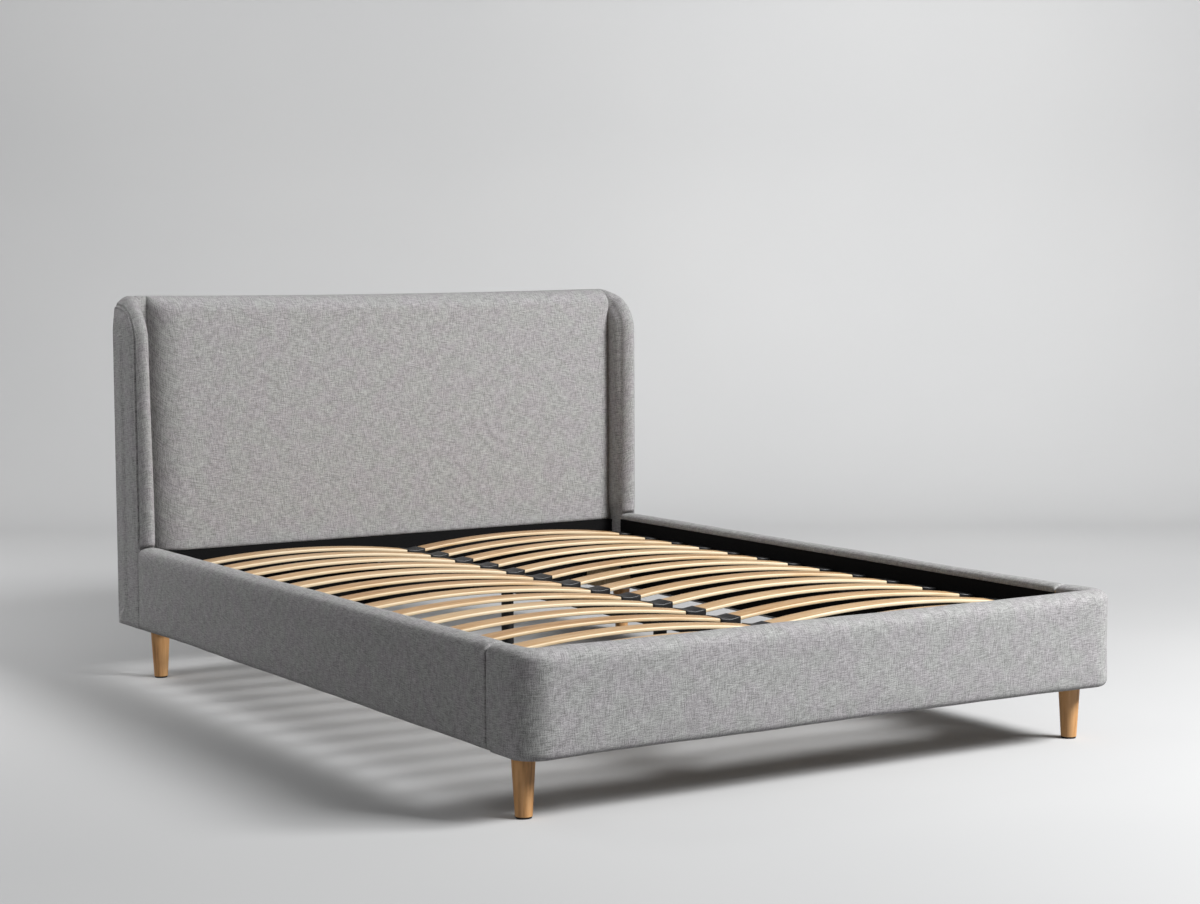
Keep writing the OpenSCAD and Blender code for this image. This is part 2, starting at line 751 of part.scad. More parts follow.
module corner_blocks() {
  color(pine) difference() {
    both_sides() {
      translate([inner_x - block_w, foot_in_y, board_z])
        cube([block_w, leg_ys[0] + plate_w / 2 - foot_in_y, block_h]);
      translate([inner_x - block_w, leg_ys[1] - plate_w / 2, board_z])
        cube([block_w, strip_y - leg_ys[1] + plate_w / 2, block_h]);
    }
    holes(plate_screws);
  }
}

module frame_fasteners() {
  color(zinc)
    for (f = concat(side_bolts, end_bolts, ledge_bolts, hanger_bolts, plate_screws, leg_bolts, tube_bolts))
      fastener(f);
}

// Centre legs and their levelling feet
module centre_legs() {
  color(black_steel) for (y = [-1, 1] * centre_leg_y) difference() {
    translate([0, slat_mid_y + y, 0]) {
      translate([-centre_plate_w / 2, -centre_plate_l / 2, tube_z - steel_t])
        cube([centre_plate_w, centre_plate_l, steel_t]);
      difference() {
        translate([0, 0, centre_leg_z]) cylinder(d = centre_leg_d, h = tube_z - steel_t - centre_leg_z);
        translate([0, 0, bush_top])
          cylinder(d = centre_leg_d - 2 * tube_wall, h = tube_z - steel_t - bush_top - 2);
        translate([0, 0, centre_leg_z - 1]) cylinder(d = foot_screw_d + 2 * foot_fit, h = bush_h + 2);
      }
    }
    holes(tube_bolts);
  }
}

module levelling_foot(end) {
  color(black_plastic) translate([0, slat_mid_y + end * centre_leg_y, 0]) {
    cylinder(d1 = foot_pad_d, d2 = foot_pad_d - 6, h = foot_pad_h);
    cylinder(d = foot_nut_d, h = foot_pad_h + foot_nut_h, $fn = 6);
    cylinder(d = foot_screw_d, h = foot_screw_h);
  }
}

headboard_cushion();
headboard_panel();
headboard_frame();
headboard_lower_rail();
headboard_back_cover();
headboard_wing(-1);  // headboard_wing_left
headboard_wing(1);  // headboard_wing_right
wing_boards();
side_rail_board(-1);  // side_rail_board_left
side_rail_board(1);  // side_rail_board_right
side_rail_cover(-1);  // side_rail_cover_left
side_rail_cover(1);  // side_rail_cover_right
foot_rail_board();
foot_rail_cover();
rail_linings();
slat_ledge(-1);  // slat_ledge_left
slat_ledge(1);  // slat_ledge_right
centre_rail();
frame_brackets();
side_caps();
centre_caps();
leg(-1, leg_ys[0]);  // leg_foot_left
leg(1, leg_ys[0]);  // leg_foot_right
leg(-1, leg_ys[1]);  // leg_head_left
leg(1, leg_ys[1]);  // leg_head_right
leg_glides();
leg_plates();
corner_blocks();
frame_fasteners();
centre_legs();
levelling_foot(-1);  // levelling_foot_front
levelling_foot(1);  // levelling_foot_rear
for (s = [0, 1], i = [1:slat_count])
  slat(SIDES[s], i - 1);
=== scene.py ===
"""Looks of an upholstered double bed frame with a winged headboard and sprung slats.

Everything is in metres. The origin is on the floor under the middle of the bed, +Y points to the
headboard, +X to the right as seen from the foot, +Z up.
"""

import math

import bpy
import numpy as np
from mathutils import Matrix, Vector


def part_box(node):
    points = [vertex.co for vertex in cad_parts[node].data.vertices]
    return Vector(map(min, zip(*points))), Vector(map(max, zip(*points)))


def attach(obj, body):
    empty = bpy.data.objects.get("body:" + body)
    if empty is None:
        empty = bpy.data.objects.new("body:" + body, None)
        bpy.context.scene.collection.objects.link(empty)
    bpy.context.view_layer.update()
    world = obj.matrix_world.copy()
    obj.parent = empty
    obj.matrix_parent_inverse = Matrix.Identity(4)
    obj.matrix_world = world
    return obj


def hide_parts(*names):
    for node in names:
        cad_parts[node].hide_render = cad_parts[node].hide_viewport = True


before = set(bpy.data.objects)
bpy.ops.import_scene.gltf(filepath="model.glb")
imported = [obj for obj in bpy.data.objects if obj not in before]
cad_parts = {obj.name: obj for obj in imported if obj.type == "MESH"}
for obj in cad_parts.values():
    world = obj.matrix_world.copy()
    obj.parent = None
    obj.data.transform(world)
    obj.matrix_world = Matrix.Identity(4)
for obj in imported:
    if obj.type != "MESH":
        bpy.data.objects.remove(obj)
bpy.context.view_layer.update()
BODY = "bed_frame"
MM = 0.001
SIDE_NAME = {-1: "left", 1: "right"}

# Places that come from the frame
RAIL_LO, RAIL_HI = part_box("side_rail_cover_right")
FOOT_LO, FOOT_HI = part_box("foot_rail_cover")
WING_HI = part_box("headboard_wing_right")[1]
CUSHION_LO, CUSHION_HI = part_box("headboard_cushion")
BOARD_LO, BOARD_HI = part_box("side_rail_board_right")
PANEL_LO, PANEL_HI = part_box("headboard_panel")

INNER_X = RAIL_LO.x
OUTER_X = RAIL_HI.x
RAIL_T = OUTER_X - INNER_X
RAIL_Z = RAIL_LO.z
RAIL_TOP = RAIL_HI.z
HEM_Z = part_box("rail_linings")[1].z
FOOT_Y = FOOT_LO.y
WING_SEAM_Y = BOARD_HI.y
HEAD_TOP = CUSHION_HI.z

# Sizes of the padding
CORNER_R = 60 * MM
TOP_R = 20 * MM
LIP_R = 12 * MM
LOW_R = 14 * MM
CLEAR = 0.3 * MM
SEAM_ROLL = 4 * MM
SEAM_OPEN = 0.9 * MM


# Helpers
def smooth_step(t):
    t = np.clip(t, 0.0, 1.0)
    return t * t * (3.0 - 2.0 * t)


def lerp(a, b, t):
    return a + (b - a) * t


def arc_points(centre, radii, a0, a1, n):
    """Points of an arc, with angles in degrees."""
    angles = np.radians(np.linspace(a0, a1, n))
    return np.stack([centre[0] + radii[0] * np.cos(angles), centre[1] + radii[1] * np.sin(angles)], axis=1)


def lengths_along(points):
    """Distance of each point of an open line from the first one, measured along the line."""
    return np.concatenate([[0.0], np.cumsum(np.linalg.norm(np.diff(points, axis=0), axis=1))])


def resample(points, step):
    """Points at an even spacing along an open line."""
    points = np.asarray(points, float)
    along = lengths_along(points)
    count = max(2, int(round(along[-1] / step)) + 1)
    at = np.linspace(0.0, along[-1], count)
    return np.stack([np.interp(at, along, points[:, k]) for k in range(points.shape[1])], axis=1)


def rounded(points, n):
    """A smooth line through the points (Catmull-Rom), with n steps from each point to the next."""
    p = np.asarray(points, float)
    p = np.vstack([2 * p[0] - p[1], p, 2 * p[-1] - p[-2]])
    out = []
    for i in range(1, len(p) - 2):
        for k in range(n):
            t = k / n
            out.append(0.5 * (2 * p[i] + (p[i + 1] - p[i - 1]) * t
                              + (2 * p[i - 1] - 5 * p[i] + 4 * p[i + 1] - p[i + 2]) * t * t
                              + (3 * p[i] - p[i - 1] - 3 * p[i + 1] + p[i + 2]) * t ** 3))
    out.append(p[-2])
    return np.array(out)


def normals_2d(points):
    """Unit normals of an open line, to the left of its direction."""
    d = np.gradient(points, axis=0)
    d /= np.maximum(np.linalg.norm(d, axis=1, keepdims=True), 1e-9)
    return np.stack([-d[:, 1], d[:, 0]], axis=1)


def make_mesh(name, verts, faces, uvs=None, materials=(), slots=None):
    """A mesh piece with smooth faces. uvs holds each vertex's place on the cloth, in metres, and slots
    each face's material."""
    mesh = bpy.data.meshes.new(name)
    mesh.from_pydata([tuple(v) for v in verts], [], faces)
    if uvs is not None:
        layer = mesh.uv_layers.new(name="cloth")
        index = np.empty(len(mesh.loops), int)
        mesh.loops.foreach_get("vertex_index", index)
        layer.data.foreach_set("uv", np.asarray(uvs, float)[index].ravel())
    for m in materials:
        mesh.materials.append(m)
    if slots is not None:
        mesh.polygons.foreach_set("material_index", slots)
    mesh.polygons.foreach_set("use_smooth", [True] * len(mesh.polygons))
    mesh.validate()
    mesh.update()
    obj = bpy.data.objects.new(name, mesh)
    bpy.context.scene.collection.objects.link(obj)
    return obj


def ring_faces(n_rings, n, closed=True, flip=False):
    """Quads between rings of n points each."""
    faces = []
    last = n if closed else n - 1
    for k in range(n_rings - 1):
        for i in range(last):
            j = (i + 1) % n
            f = (k * n + i, k * n + j, (k + 1) * n + j, (k + 1) * n + i)
            faces.append(f[::-1] if flip else f)
    return faces


# Materials
def new_material(name):
    """A node material with its Principled shader and a maker of further nodes, whose inputs go by
    their names, or by i and their number where names repeat."""
    mat = bpy.data.materials.new(name)
    mat.use_nodes = True
    tree = mat.node_tree
    tree.nodes.clear()
    out = tree.nodes.new("ShaderNodeOutputMaterial")
    shader = tree.nodes.new("ShaderNodeBsdfPrincipled")
    tree.links.new(shader.outputs["BSDF"], out.inputs["Surface"])

    def node(kind, settings=None, **inputs):
        made = tree.nodes.new(kind)
        for key, value in (settings or {}).items():
            setattr(made, key, value)
        for key, value in inputs.items():
            socket = made.inputs[int(key[1:])] if key[0] == "i" and key[1:].isdigit() else made.inputs[key]
            if isinstance(value, bpy.types.NodeSocket):
                tree.links.new(value, socket)
            else:
                socket.default_value = value
        return made

    return mat, tree, shader, node


def colour_ramp(node, factor, stops):
    """A colour for each value of the factor. A stop is a position and its colour, in rising order."""
    ramp = node("ShaderNodeValToRGB", Fac=factor)
    elements = ramp.color_ramp.elements
    for i, (at, colour) in enumerate(stops):
        stop = elements[i] if i < 2 else elements.new(at)
        stop.position = at
        stop.color = (*colour, 1.0)
    return ramp.outputs["Color"]


def math_node(node, operation, a, b=0.0):
    return node("ShaderNodeMath", {"operation": operation}, i0=a, i1=b).outputs[0]


def add_scaled(node, value, factor, rest):
    """The value times the factor, plus the rest."""
    return node("ShaderNodeMath", {"operation": "MULTIPLY_ADD"}, i0=value, i1=factor, i2=rest).outputs[0]


def stretched_noise(node, vector, scale, detail=3.0, roughness=0.6):
    """Noise with its own scale along each axis of the vector."""
    mapped = node("ShaderNodeMapping", Vector=vector, Scale=scale)
    return node("ShaderNodeTexNoise", Vector=mapped.outputs[0], Scale=1.0, Detail=detail,
                Roughness=roughness).outputs["Fac"]


def thread_noise(node, cloth, across, along, width, length):
    """Long streaks along the threads of one direction, staggered from thread to thread."""
    stagger = 0.37
    first = tuple(a / width for a in across)
    second = tuple(a * stagger / width + b / length for a, b in zip(across, along))
    dots = [node("ShaderNodeVectorMath", {"operation": "DOT_PRODUCT"}, i0=cloth, i1=axis).outputs["Value"]
            for axis in (first, second)]
    place = node("ShaderNodeCombineXYZ", X=dots[0], Y=dots[1]).outputs[0]
    return node("ShaderNodeTexNoise", Vector=place, Scale=1.0, Detail=1.0, Roughness=0.5).outputs["Fac"]


def linen_material():
    """Grey melange linen: uneven threads both ways, in light and dark greys."""
    mat, tree, shader, node = new_material("linen_melange")
    cloth = node("ShaderNodeTexCoord").outputs["UV"]
    thread = 1.3 * MM
    slub = 1.6 * MM
    slub_length = 20 * MM
    speck = 1.9 * MM
    mottles = 26.0
    hues = 17.0
    warp = thread_noise(node, cloth, (1.0, 0.0, 0.0), (0.0, 1.0, 0.0), slub, slub_length)
    weft = thread_noise(node, cloth, (0.0, 1.0, 0.0), (1.0, 0.0, 0.0), slub, slub_length)
    fine = stretched_noise(node, cloth, (1 / speck, 1 / speck, 1.0), 1.0)
    mottle = stretched_noise(node, cloth, (mottles, mottles, 1.0), 2.0)
    both = math_node(node, "ADD", warp, weft)
    threads = math_node(node, "MULTIPLY", both, 0.34)
    grain = add_scaled(node, fine, 0.36, math_node(node, "SUBTRACT", threads, 0.04))
    tone = add_scaled(node, mottle, 0.04, grain)
    colour = colour_ramp(node, tone, [(0.27, (0.095, 0.093, 0.092)), (0.44, (0.250, 0.247, 0.245)),
                                      (0.56, (0.425, 0.421, 0.421)), (0.74, (0.66, 0.652, 0.652))])
    hue = stretched_noise(node, cloth, (hues, hues, 1.0), 1.0)
    tint = colour_ramp(node, hue, [(0.40, (0.985, 1.0, 0.985)), (0.62, (1.0, 0.975, 1.0))])
    product = {"data_type": "RGBA", "blend_type": "MULTIPLY"}
    tinted = node("ShaderNodeMix", product, Factor=1.0, i6=colour, i7=tint)
    tree.links.new(tinted.outputs[2], shader.inputs["Base Color"])
    split = node("ShaderNodeSeparateXYZ", Vector=cloth)
    weave = []
    for axis, other in (("X", "Y"), ("Y", "X")):
        wave = math_node(node, "SINE", math_node(node, "MULTIPLY", split.outputs[axis], math.tau / thread))
        cross = math_node(node, "SINE", math_node(node, "MULTIPLY", split.outputs[other], math.pi / thread))
        weave.append(math_node(node, "MULTIPLY", wave, cross))
    height = add_scaled(node, math_node(node, "ADD", weave[0], weave[1]), 0.12, both)
    bump = node("ShaderNodeBump", Strength=0.55, Distance=0.8 * MM, Height=height)
    tree.links.new(bump.outputs[0], shader.inputs["Normal"])
    shader.inputs["Roughness"].default_value = 0.92
    shader.inputs["Specular IOR Level"].default_value = 0.18
    shader.inputs["Sheen Weight"].default_value = 0.12
    shader.inputs["Sheen Roughness"].default_value = 0.6
    return mat


def lining_material():
    """Thin black non-woven lining: matt, with a faint pressed grain."""
    mat, tree, shader, node = new_material("black_lining")
    place = node("ShaderNodeTexCoord").outputs["Object"]
    fibres = node("ShaderNodeTexNoise", Vector=place, Scale=900.0, Detail=3.0).outputs["Fac"]
    sag = node("ShaderNodeTexNoise", Vector=place, Scale=14.0, Detail=2.0).outputs["Fac"]
    stops = [(0.35, (0.0045, 0.0045, 0.005)), (0.7, (0.011, 0.0105, 0.0105))]
    tree.links.new(colour_ramp(node, fibres, stops), shader.inputs["Base Color"])
    fine = node("ShaderNodeBump", Strength=0.5, Distance=0.3 * MM, Height=fibres)
    broad = node("ShaderNodeBump", Strength=0.4, Distance=2 * MM, Height=sag, Normal=fine.outputs[0])
    tree.links.new(broad.outputs[0], shader.inputs["Normal"])
    shader.inputs["Roughness"].default_value = 0.9
    shader.inputs["Specular IOR Level"].default_value = 0.1
    return mat


def slat_tone(node, place, pitch):
    """A number from 0 to 1 that is the same all over one slat and differs from slat to slat."""
    split = node("ShaderNodeSeparateXYZ", Vector=place)
    row = math_node(node, "ROUND", math_node(node, "DIVIDE", split.outputs["Y"], pitch))
    side = math_node(node, "SIGN", split.outputs["X"])
    key = node("ShaderNodeCombineXYZ", X=row, Y=side)
    return node("ShaderNodeTexWhiteNoise", {"noise_dimensions": "2D"}, Vector=key.outputs[0]).outputs["Value"]


def birch_material(edge, pitch, first_y):
    """Laminated birch: streaky rotary veneer on the faces, thin plies along the edges."""
    mat, tree, shader, node = new_material("birch_edge" if edge else "birch_face")
    object_place = node("ShaderNodeTexCoord").outputs["Object"]
    place = node("ShaderNodeVectorMath", {"operation": "SUBTRACT"}, i0=object_place,
                 i1=(0.0, first_y, 0.0)).outputs[0]
    tone = slat_tone(node, place, pitch)
    streaks = stretched_noise(node, place, (3.0, 150.0, 150.0), 5.0, 0.65)
    pores = stretched_noise(node, place, (40.0, 1400.0, 1400.0), 2.0, 0.5)
    figure = stretched_noise(node, place, (7.0, 34.0, 34.0), 3.0, 0.6)
    mix = add_scaled(node, streaks, 0.62, math_node(node, "MULTIPLY", figure, 0.38))
    tone_range = 0.22
    shifted = add_scaled(node, tone, tone_range, math_node(node, "SUBTRACT", mix, tone_range / 2))
    if edge:
        stops = [(0.28, (0.60, 0.37, 0.165)), (0.46, (0.77, 0.60, 0.38)), (0.72, (0.84, 0.70, 0.50))]
    else:
        stops = [(0.28, (0.39, 0.19, 0.068)), (0.48, (0.63, 0.385, 0.18)), (0.72, (0.74, 0.535, 0.315))]
    tree.links.new(colour_ramp(node, shifted, stops), shader.inputs["Base Color"])
    bump = node("ShaderNodeBump", Strength=0.25, Distance=0.2 * MM, Height=pores)
    tree.links.new(bump.outputs[0], shader.inputs["Normal"])
    shader.inputs["Roughness"].default_value = 0.42
    shader.inputs["Coat Weight"].default_value = 0.15
    shader.inputs["Coat Roughness"].default_value = 0.25
    return mat


def oak_material():
    """Oiled oak legs: upright grain with dark pores and soft rings."""
    mat, tree, shader, node = new_material("oak")
    place = node("ShaderNodeTexCoord").outputs["Object"]
    grain = stretched_noise(node, place, (110.0, 110.0, 6.0), 6.0, 0.62)
    pores = stretched_noise(node, place, (700.0, 700.0, 28.0), 2.0, 0.5)
    broad = stretched_noise(node, place, (22.0, 22.0, 2.5), 2.0, 0.5)
    mix = add_scaled(node, grain, 0.65, math_node(node, "MULTIPLY", broad, 0.35))
    stops = [(0.32, (0.34, 0.155, 0.054)), (0.5, (0.69, 0.365, 0.145)), (0.68, (0.82, 0.49, 0.235))]
    tree.links.new(colour_ramp(node, mix, stops), shader.inputs["Base Color"])
    bump = node("ShaderNodeBump", Strength=0.35, Distance=0.25 * MM, Height=pores)
    tree.links.new(bump.outputs[0], shader.inputs["Normal"])
    shader.inputs["Roughness"].default_value = 0.46
    return mat


def pine_material():
    """Plain softwood and plywood under the covers."""
    mat, tree, shader, node = new_material("plain_timber")
    place = node("ShaderNodeTexCoord").outputs["Object"]
    grain = stretched_noise(node, place, (9.0, 60.0, 60.0), 4.0, 0.6)
    stops = [(0.3, (0.45, 0.29, 0.14)), (0.7, (0.70, 0.53, 0.32))]
    tree.links.new(colour_ramp(node, grain, stops), shader.inputs["Base Color"])
    shader.inputs["Roughness"].default_value = 0.65
    return mat


def speckled_material(name, dark, light, roughness, grain_scale, depth, metallic=0.0):
    """A hard surface with a fine grain: moulded plastic, powder coat or plated steel."""
    mat, tree, shader, node = new_material(name)
    place = node("ShaderNodeTexCoord").outputs["Object"]
    wear_scale = grain_scale / 24
    grain = node("ShaderNodeTexNoise", Vector=place, Scale=grain_scale, Detail=2.0).outputs["Fac"]
    wear = node("ShaderNodeTexNoise", Vector=place, Scale=wear_scale, Detail=3.0).outputs["Fac"]
    tree.links.new(colour_ramp(node, wear, [(0.35, dark), (0.7, light)]), shader.inputs["Base Color"])
    rough = node("ShaderNodeMapRange", Value=wear)
    rough.inputs["To Min"].default_value = roughness - 0.06
    rough.inputs["To Max"].default_value = roughness + 0.08
    tree.links.new(rough.outputs[0], shader.inputs["Roughness"])
    bump = node("ShaderNodeBump", Strength=0.4, Distance=depth, Height=grain)
    tree.links.new(bump.outputs[0], shader.inputs["Normal"])
    shader.inputs["Metallic"].default_value = metallic
    return mat


# Cloth simulation
SIM_FRAMES = 20
SIM_PRESSURE = 4.0
SIM_CELL = 22 * MM
HELD_COLUMNS = 2


def spaced(lengths):
    """Indices of points about one cell apart along a line, both ends included."""
    count = max(3, int(lengths[-1] / SIM_CELL) + 1)
    wanted = np.linspace(0.0, lengths[-1], count)
    return np.unique([int(np.argmin(np.abs(lengths - w))) for w in wanted])


def pressed_out(sheet):
    """The points of a sheet that Blender's Cloth has pushed out from inside, held at its group."""
    cloth = sheet.modifiers.new("cloth", "CLOTH")
    cloth.settings.quality = 6
    cloth.settings.mass = 0.35
    cloth.settings.tension_stiffness = 40.0
    cloth.settings.compression_stiffness = 40.0
    cloth.settings.shear_stiffness = 12.0
    cloth.settings.bending_stiffness = 4.0
    cloth.settings.vertex_group_mass = "held"
    cloth.settings.use_pressure = True
    cloth.settings.uniform_pressure_force = SIM_PRESSURE
    cloth.settings.effector_weights.gravity = 0.0
    cloth.point_cache.frame_end = SIM_FRAMES
    for step in range(1, SIM_FRAMES + 1):
        bpy.context.scene.frame_set(step)
    shaped = sheet.evaluated_get(bpy.context.evaluated_depsgraph_get()).to_mesh()
    moved = np.empty(len(shaped.vertices) * 3)
    shaped.vertices.foreach_get("co", moved)
    bpy.context.scene.frame_set(1)
    return moved.reshape(-1, 3)


def swollen(grid, cap, flip=False):
    """How far the foam swells a cover, up to the cap. grid holds a sheet's points as [row, column,
    axis]. A coarser sheet, held along its border, is simulated, and the finer one follows it."""
    row_lengths = lengths_along(grid.mean(axis=1))
    column_lengths = lengths_along(grid[len(grid) // 2])
    rows = spaced(row_lengths)
    columns = spaced(column_lengths)
    coarse = grid[np.ix_(rows, columns)]
    faces = ring_faces(len(rows), len(columns), closed=False, flip=flip)
    sheet = make_mesh("cover_in_simulation", coarse.reshape(-1, 3), faces)
    held = sheet.vertex_groups.new(name="held")
    for r in range(len(rows)):
        for c in range(len(columns)):
            if r in (0, len(rows) - 1) or c < HELD_COLUMNS or c >= len(columns) - HELD_COLUMNS:
                held.add([r * len(columns) + c], 1.0, "REPLACE")
    shift = pressed_out(sheet).reshape(coarse.shape) - coarse
    mesh = sheet.data
    bpy.data.objects.remove(sheet)
    bpy.data.meshes.remove(mesh)
    length = np.linalg.norm(shift, axis=2, keepdims=True)
    shift *= cap * np.tanh(length / cap) / np.maximum(length, 1e-9)
    fine = np.empty_like(grid)
    for axis in range(3):
        by_row = np.array([np.interp(column_lengths, column_lengths[columns], line)
                           for line in shift[:, :, axis]])
        fine[:, :, axis] = np.array([np.interp(row_lengths, row_lengths[rows], line)
                                     for line in by_row.T]).T
    return fine


# Padded rails
RAIL_BELLY = 0.3 * MM
RAIL_SWELL = 2.4 * MM
RAIL_CROWN = 22 * MM
RAIL_STEP = 4 * MM
LIP_PROUD = 1.0 * MM
SEAM_PULL = 1.5 * MM
SEAM_PULL_REACH = 20 * MM
END_STATIONS = np.array([0.0, 0.35, 1.0, 2.0, 3.5, 5.5, 8.0, 12.0, 18.0, 26.0]) * MM
FADE_POINTS = 5.0
HEM_DRAW = 0.4
HIDDEN_CLOTH = 10 * MM


def rail_outer_line():
    """Cloth line of a rail's section, as (depth from the inner face, height): hem, top, side, underside."""
    side = np.array([[RAIL_T + RAIL_BELLY * math.sin(math.pi * t), lerp(RAIL_TOP - TOP_R, RAIL_Z + LOW_R, t)]
                     for t in np.linspace(0, 1, 24)])
    line = np.vstack([
        [[-LIP_PROUD, HEM_Z], [-LIP_PROUD, RAIL_TOP - LIP_R]],
        arc_points((RAIL_CROWN, RAIL_TOP - LIP_R), (RAIL_CROWN + LIP_PROUD, LIP_R), 178, 90, 12),
        arc_points((RAIL_CROWN, RAIL_TOP - TOP_R), (RAIL_T - RAIL_CROWN, TOP_R), 87, 4, 12),
        side,
        arc_points((RAIL_T - LOW_R, RAIL_Z + LOW_R), (LOW_R, LOW_R), -6, -90, 8),
        [[0.0, RAIL_Z]],
    ])
    return resample(line, RAIL_STEP)


def rail_inner_line():
    """The rest of the section, round the board inside: from the underside back up to the hem."""
    out = BOARD_HI.x - INNER_X + CLEAR
    low = BOARD_LO.z - CLEAR
    high = BOARD_HI.z + CLEAR
    lip = 1.1 * MM
    return np.array([[0.0, low], [out, low], [out, high], [lip, high], [lip, HEM_Z]])


def end_rounding(distance):
    """How far the cloth draws in at a seam, by the distance from the seam."""
    near = np.clip(SEAM_ROLL - distance, 0.0, SEAM_ROLL)
    roll = SEAM_ROLL - math.sqrt(max(SEAM_ROLL * SEAM_ROLL - near * near, 0.0))
    return roll + SEAM_PULL * math.exp(-distance / SEAM_PULL_REACH)


def stations(length, step):
    """Places along a length, one step apart and close together near both ends."""
    ends = END_STATIONS[:-1]
    inset = END_STATIONS[-1]
    middle = np.linspace(inset, length - inset, max(2, int((length - 2 * inset) / step)))
    return np.concatenate([ends, middle, length - ends[::-1]])


def cloth_ripple(u, v, seed):
    """Slight unevenness of tight cloth over foam."""
    return (0.45 * math.sin(9.1 * u + 2.3 * math.sin(17 * v + seed))
            + 0.3 * math.sin(23 * v - 14 * u + 1.7 * seed)
            + 0.2 * math.sin(41 * u + 33 * v + seed)) * MM


def sweep_rail(name, places, seam_distance, linen, seed, flip=False):
    """A rail's cover. places holds, for each ring, its outer point in plan and its outward direction."""
    outer = rail_outer_line()
    normals = normals_2d(outer)
    inner = rail_inner_line()
    girth = lengths_along(outer)
    places = np.array(places)
    run = lengths_along(places[:, :2])

    def placed(ring, u, z):
        x, y, nx, ny = places[ring]
        return (x - nx * (RAIL_T - u), y - ny * (RAIL_T - u), z)

    cloth = np.empty((len(places), len(outer), 3))
    for r, gap in enumerate(seam_distance):
        draw = end_rounding(gap)
        for k, (u, z) in enumerate(outer):
            fade = smooth_step(min(k, len(outer) - 1 - k) / FADE_POINTS)
            shift = fade * (cloth_ripple(run[r], girth[k], seed) - draw) - (1 - fade) * HEM_DRAW * draw
            cloth[r, k] = placed(r, u + normals[k][0] * shift, z + normals[k][1] * shift)
    cloth += swollen(cloth, RAIL_SWELL, flip)
    n = len(outer) + len(inner)
    verts, uvs = [], []
    for r in range(len(places)):
        verts += list(cloth[r]) + [placed(r, u, z) for u, z in inner]
        uvs += [(run[r], along) for along in girth] + [(run[r], girth[-1] + HIDDEN_CLOTH)] * len(inner)
    faces = ring_faces(len(places), n, flip=flip)
    first = tuple(range(n))
    last = tuple((len(places) - 1) * n + k for k in range(n))
    faces += [first, last[::-1]] if flip else [first[::-1], last]
    return make_mesh(name, verts, faces, uvs, [linen])


def side_rail(side, linen):
    """The padded cover of one side rail, from the foot seam to the wing's seam."""
    length = RAIL_HI.y - RAIL_LO.y - 2 * SEAM_OPEN
    along = stations(length, step=14 * MM)
    places = [(side * OUTER_X, RAIL_LO.y + SEAM_OPEN + s, side, 0.0) for s in along]
    gaps = [min(s, length - s) for s in along]
    name = "side_rail_padding_" + SIDE_NAME[side]
    return sweep_rail(name, places, gaps, linen, seed=1.0 + side, flip=side < 0)


def foot_rail(linen):
    """The padded cover of the foot rail, with its rounded corners and short returns."""
    end_y = FOOT_HI.y - SEAM_OPEN
    straight = end_y - FOOT_Y - CORNER_R
    width = 2 * (OUTER_X - CORNER_R)
    turn = math.pi / 2 * CORNER_R
    total = 2 * straight + 2 * turn + width
    places, gaps = [], []
    for s in stations(total, step=11 * MM):
        side = -1 if s < total / 2 else 1
        t = min(s, total - s)
        if t < straight:
            place = (side * OUTER_X, end_y - t, side, 0.0)
        elif t < straight + turn:
            a = (t - straight) / CORNER_R
            nx, ny = side * math.cos(a), -math.sin(a)
            place = (side * (OUTER_X - CORNER_R) + CORNER_R * nx, FOOT_Y + CORNER_R + CORNER_R * ny, nx, ny)
        else:
            place = (side * (OUTER_X - CORNER_R - (t - straight - turn)), FOOT_Y, 0.0, -1.0)
        places.append(place)
        gaps.append(t)
    return sweep_rail("foot_rail_padding", places, gaps, linen, seed=2.5)


# Headboard
CUSHION_FALL = PANEL_LO.y - CUSHION_LO.y - 6 * MM
LEFT_GAP = 33 * MM
LEFT_ROLL = 75 * MM
RIGHT_ROLL = 28 * MM
RIGHT_FALL = 18 * MM
CUSHION_TOP_R = 38 * MM
CUSHION_LOW_R = 12 * MM
CUSHION_BULGE = 1.0 * MM
CUSHION_SWELL = 3.0 * MM
ROLL_END = PANEL_LO.y + 6 * MM
CORNER_W = 14 * MM
CORNER_H = 14 * MM
TOP_SAG = 5 * MM
DROP_START_Z = 0.78
CUSHION_SIDE_GAP = 0.6 * MM
LEAST_ROLL = 3 * MM
BACK_EDGE_R = 8 * MM


def side_fall(x, half_w):
    """How far the cushion's front draws back beside a wing: deep at the left, tight at the right."""
    inward = half_w - abs(x)
    gap, roll, fall = (LEFT_GAP, LEFT_ROLL, CUSHION_FALL) if x < 0 else (0.0, RIGHT_ROLL, RIGHT_FALL)
    share = min(max((gap + roll - inward) / roll, 0.0), 1.0)
    return fall * (1 - math.sqrt(1 - share * share))


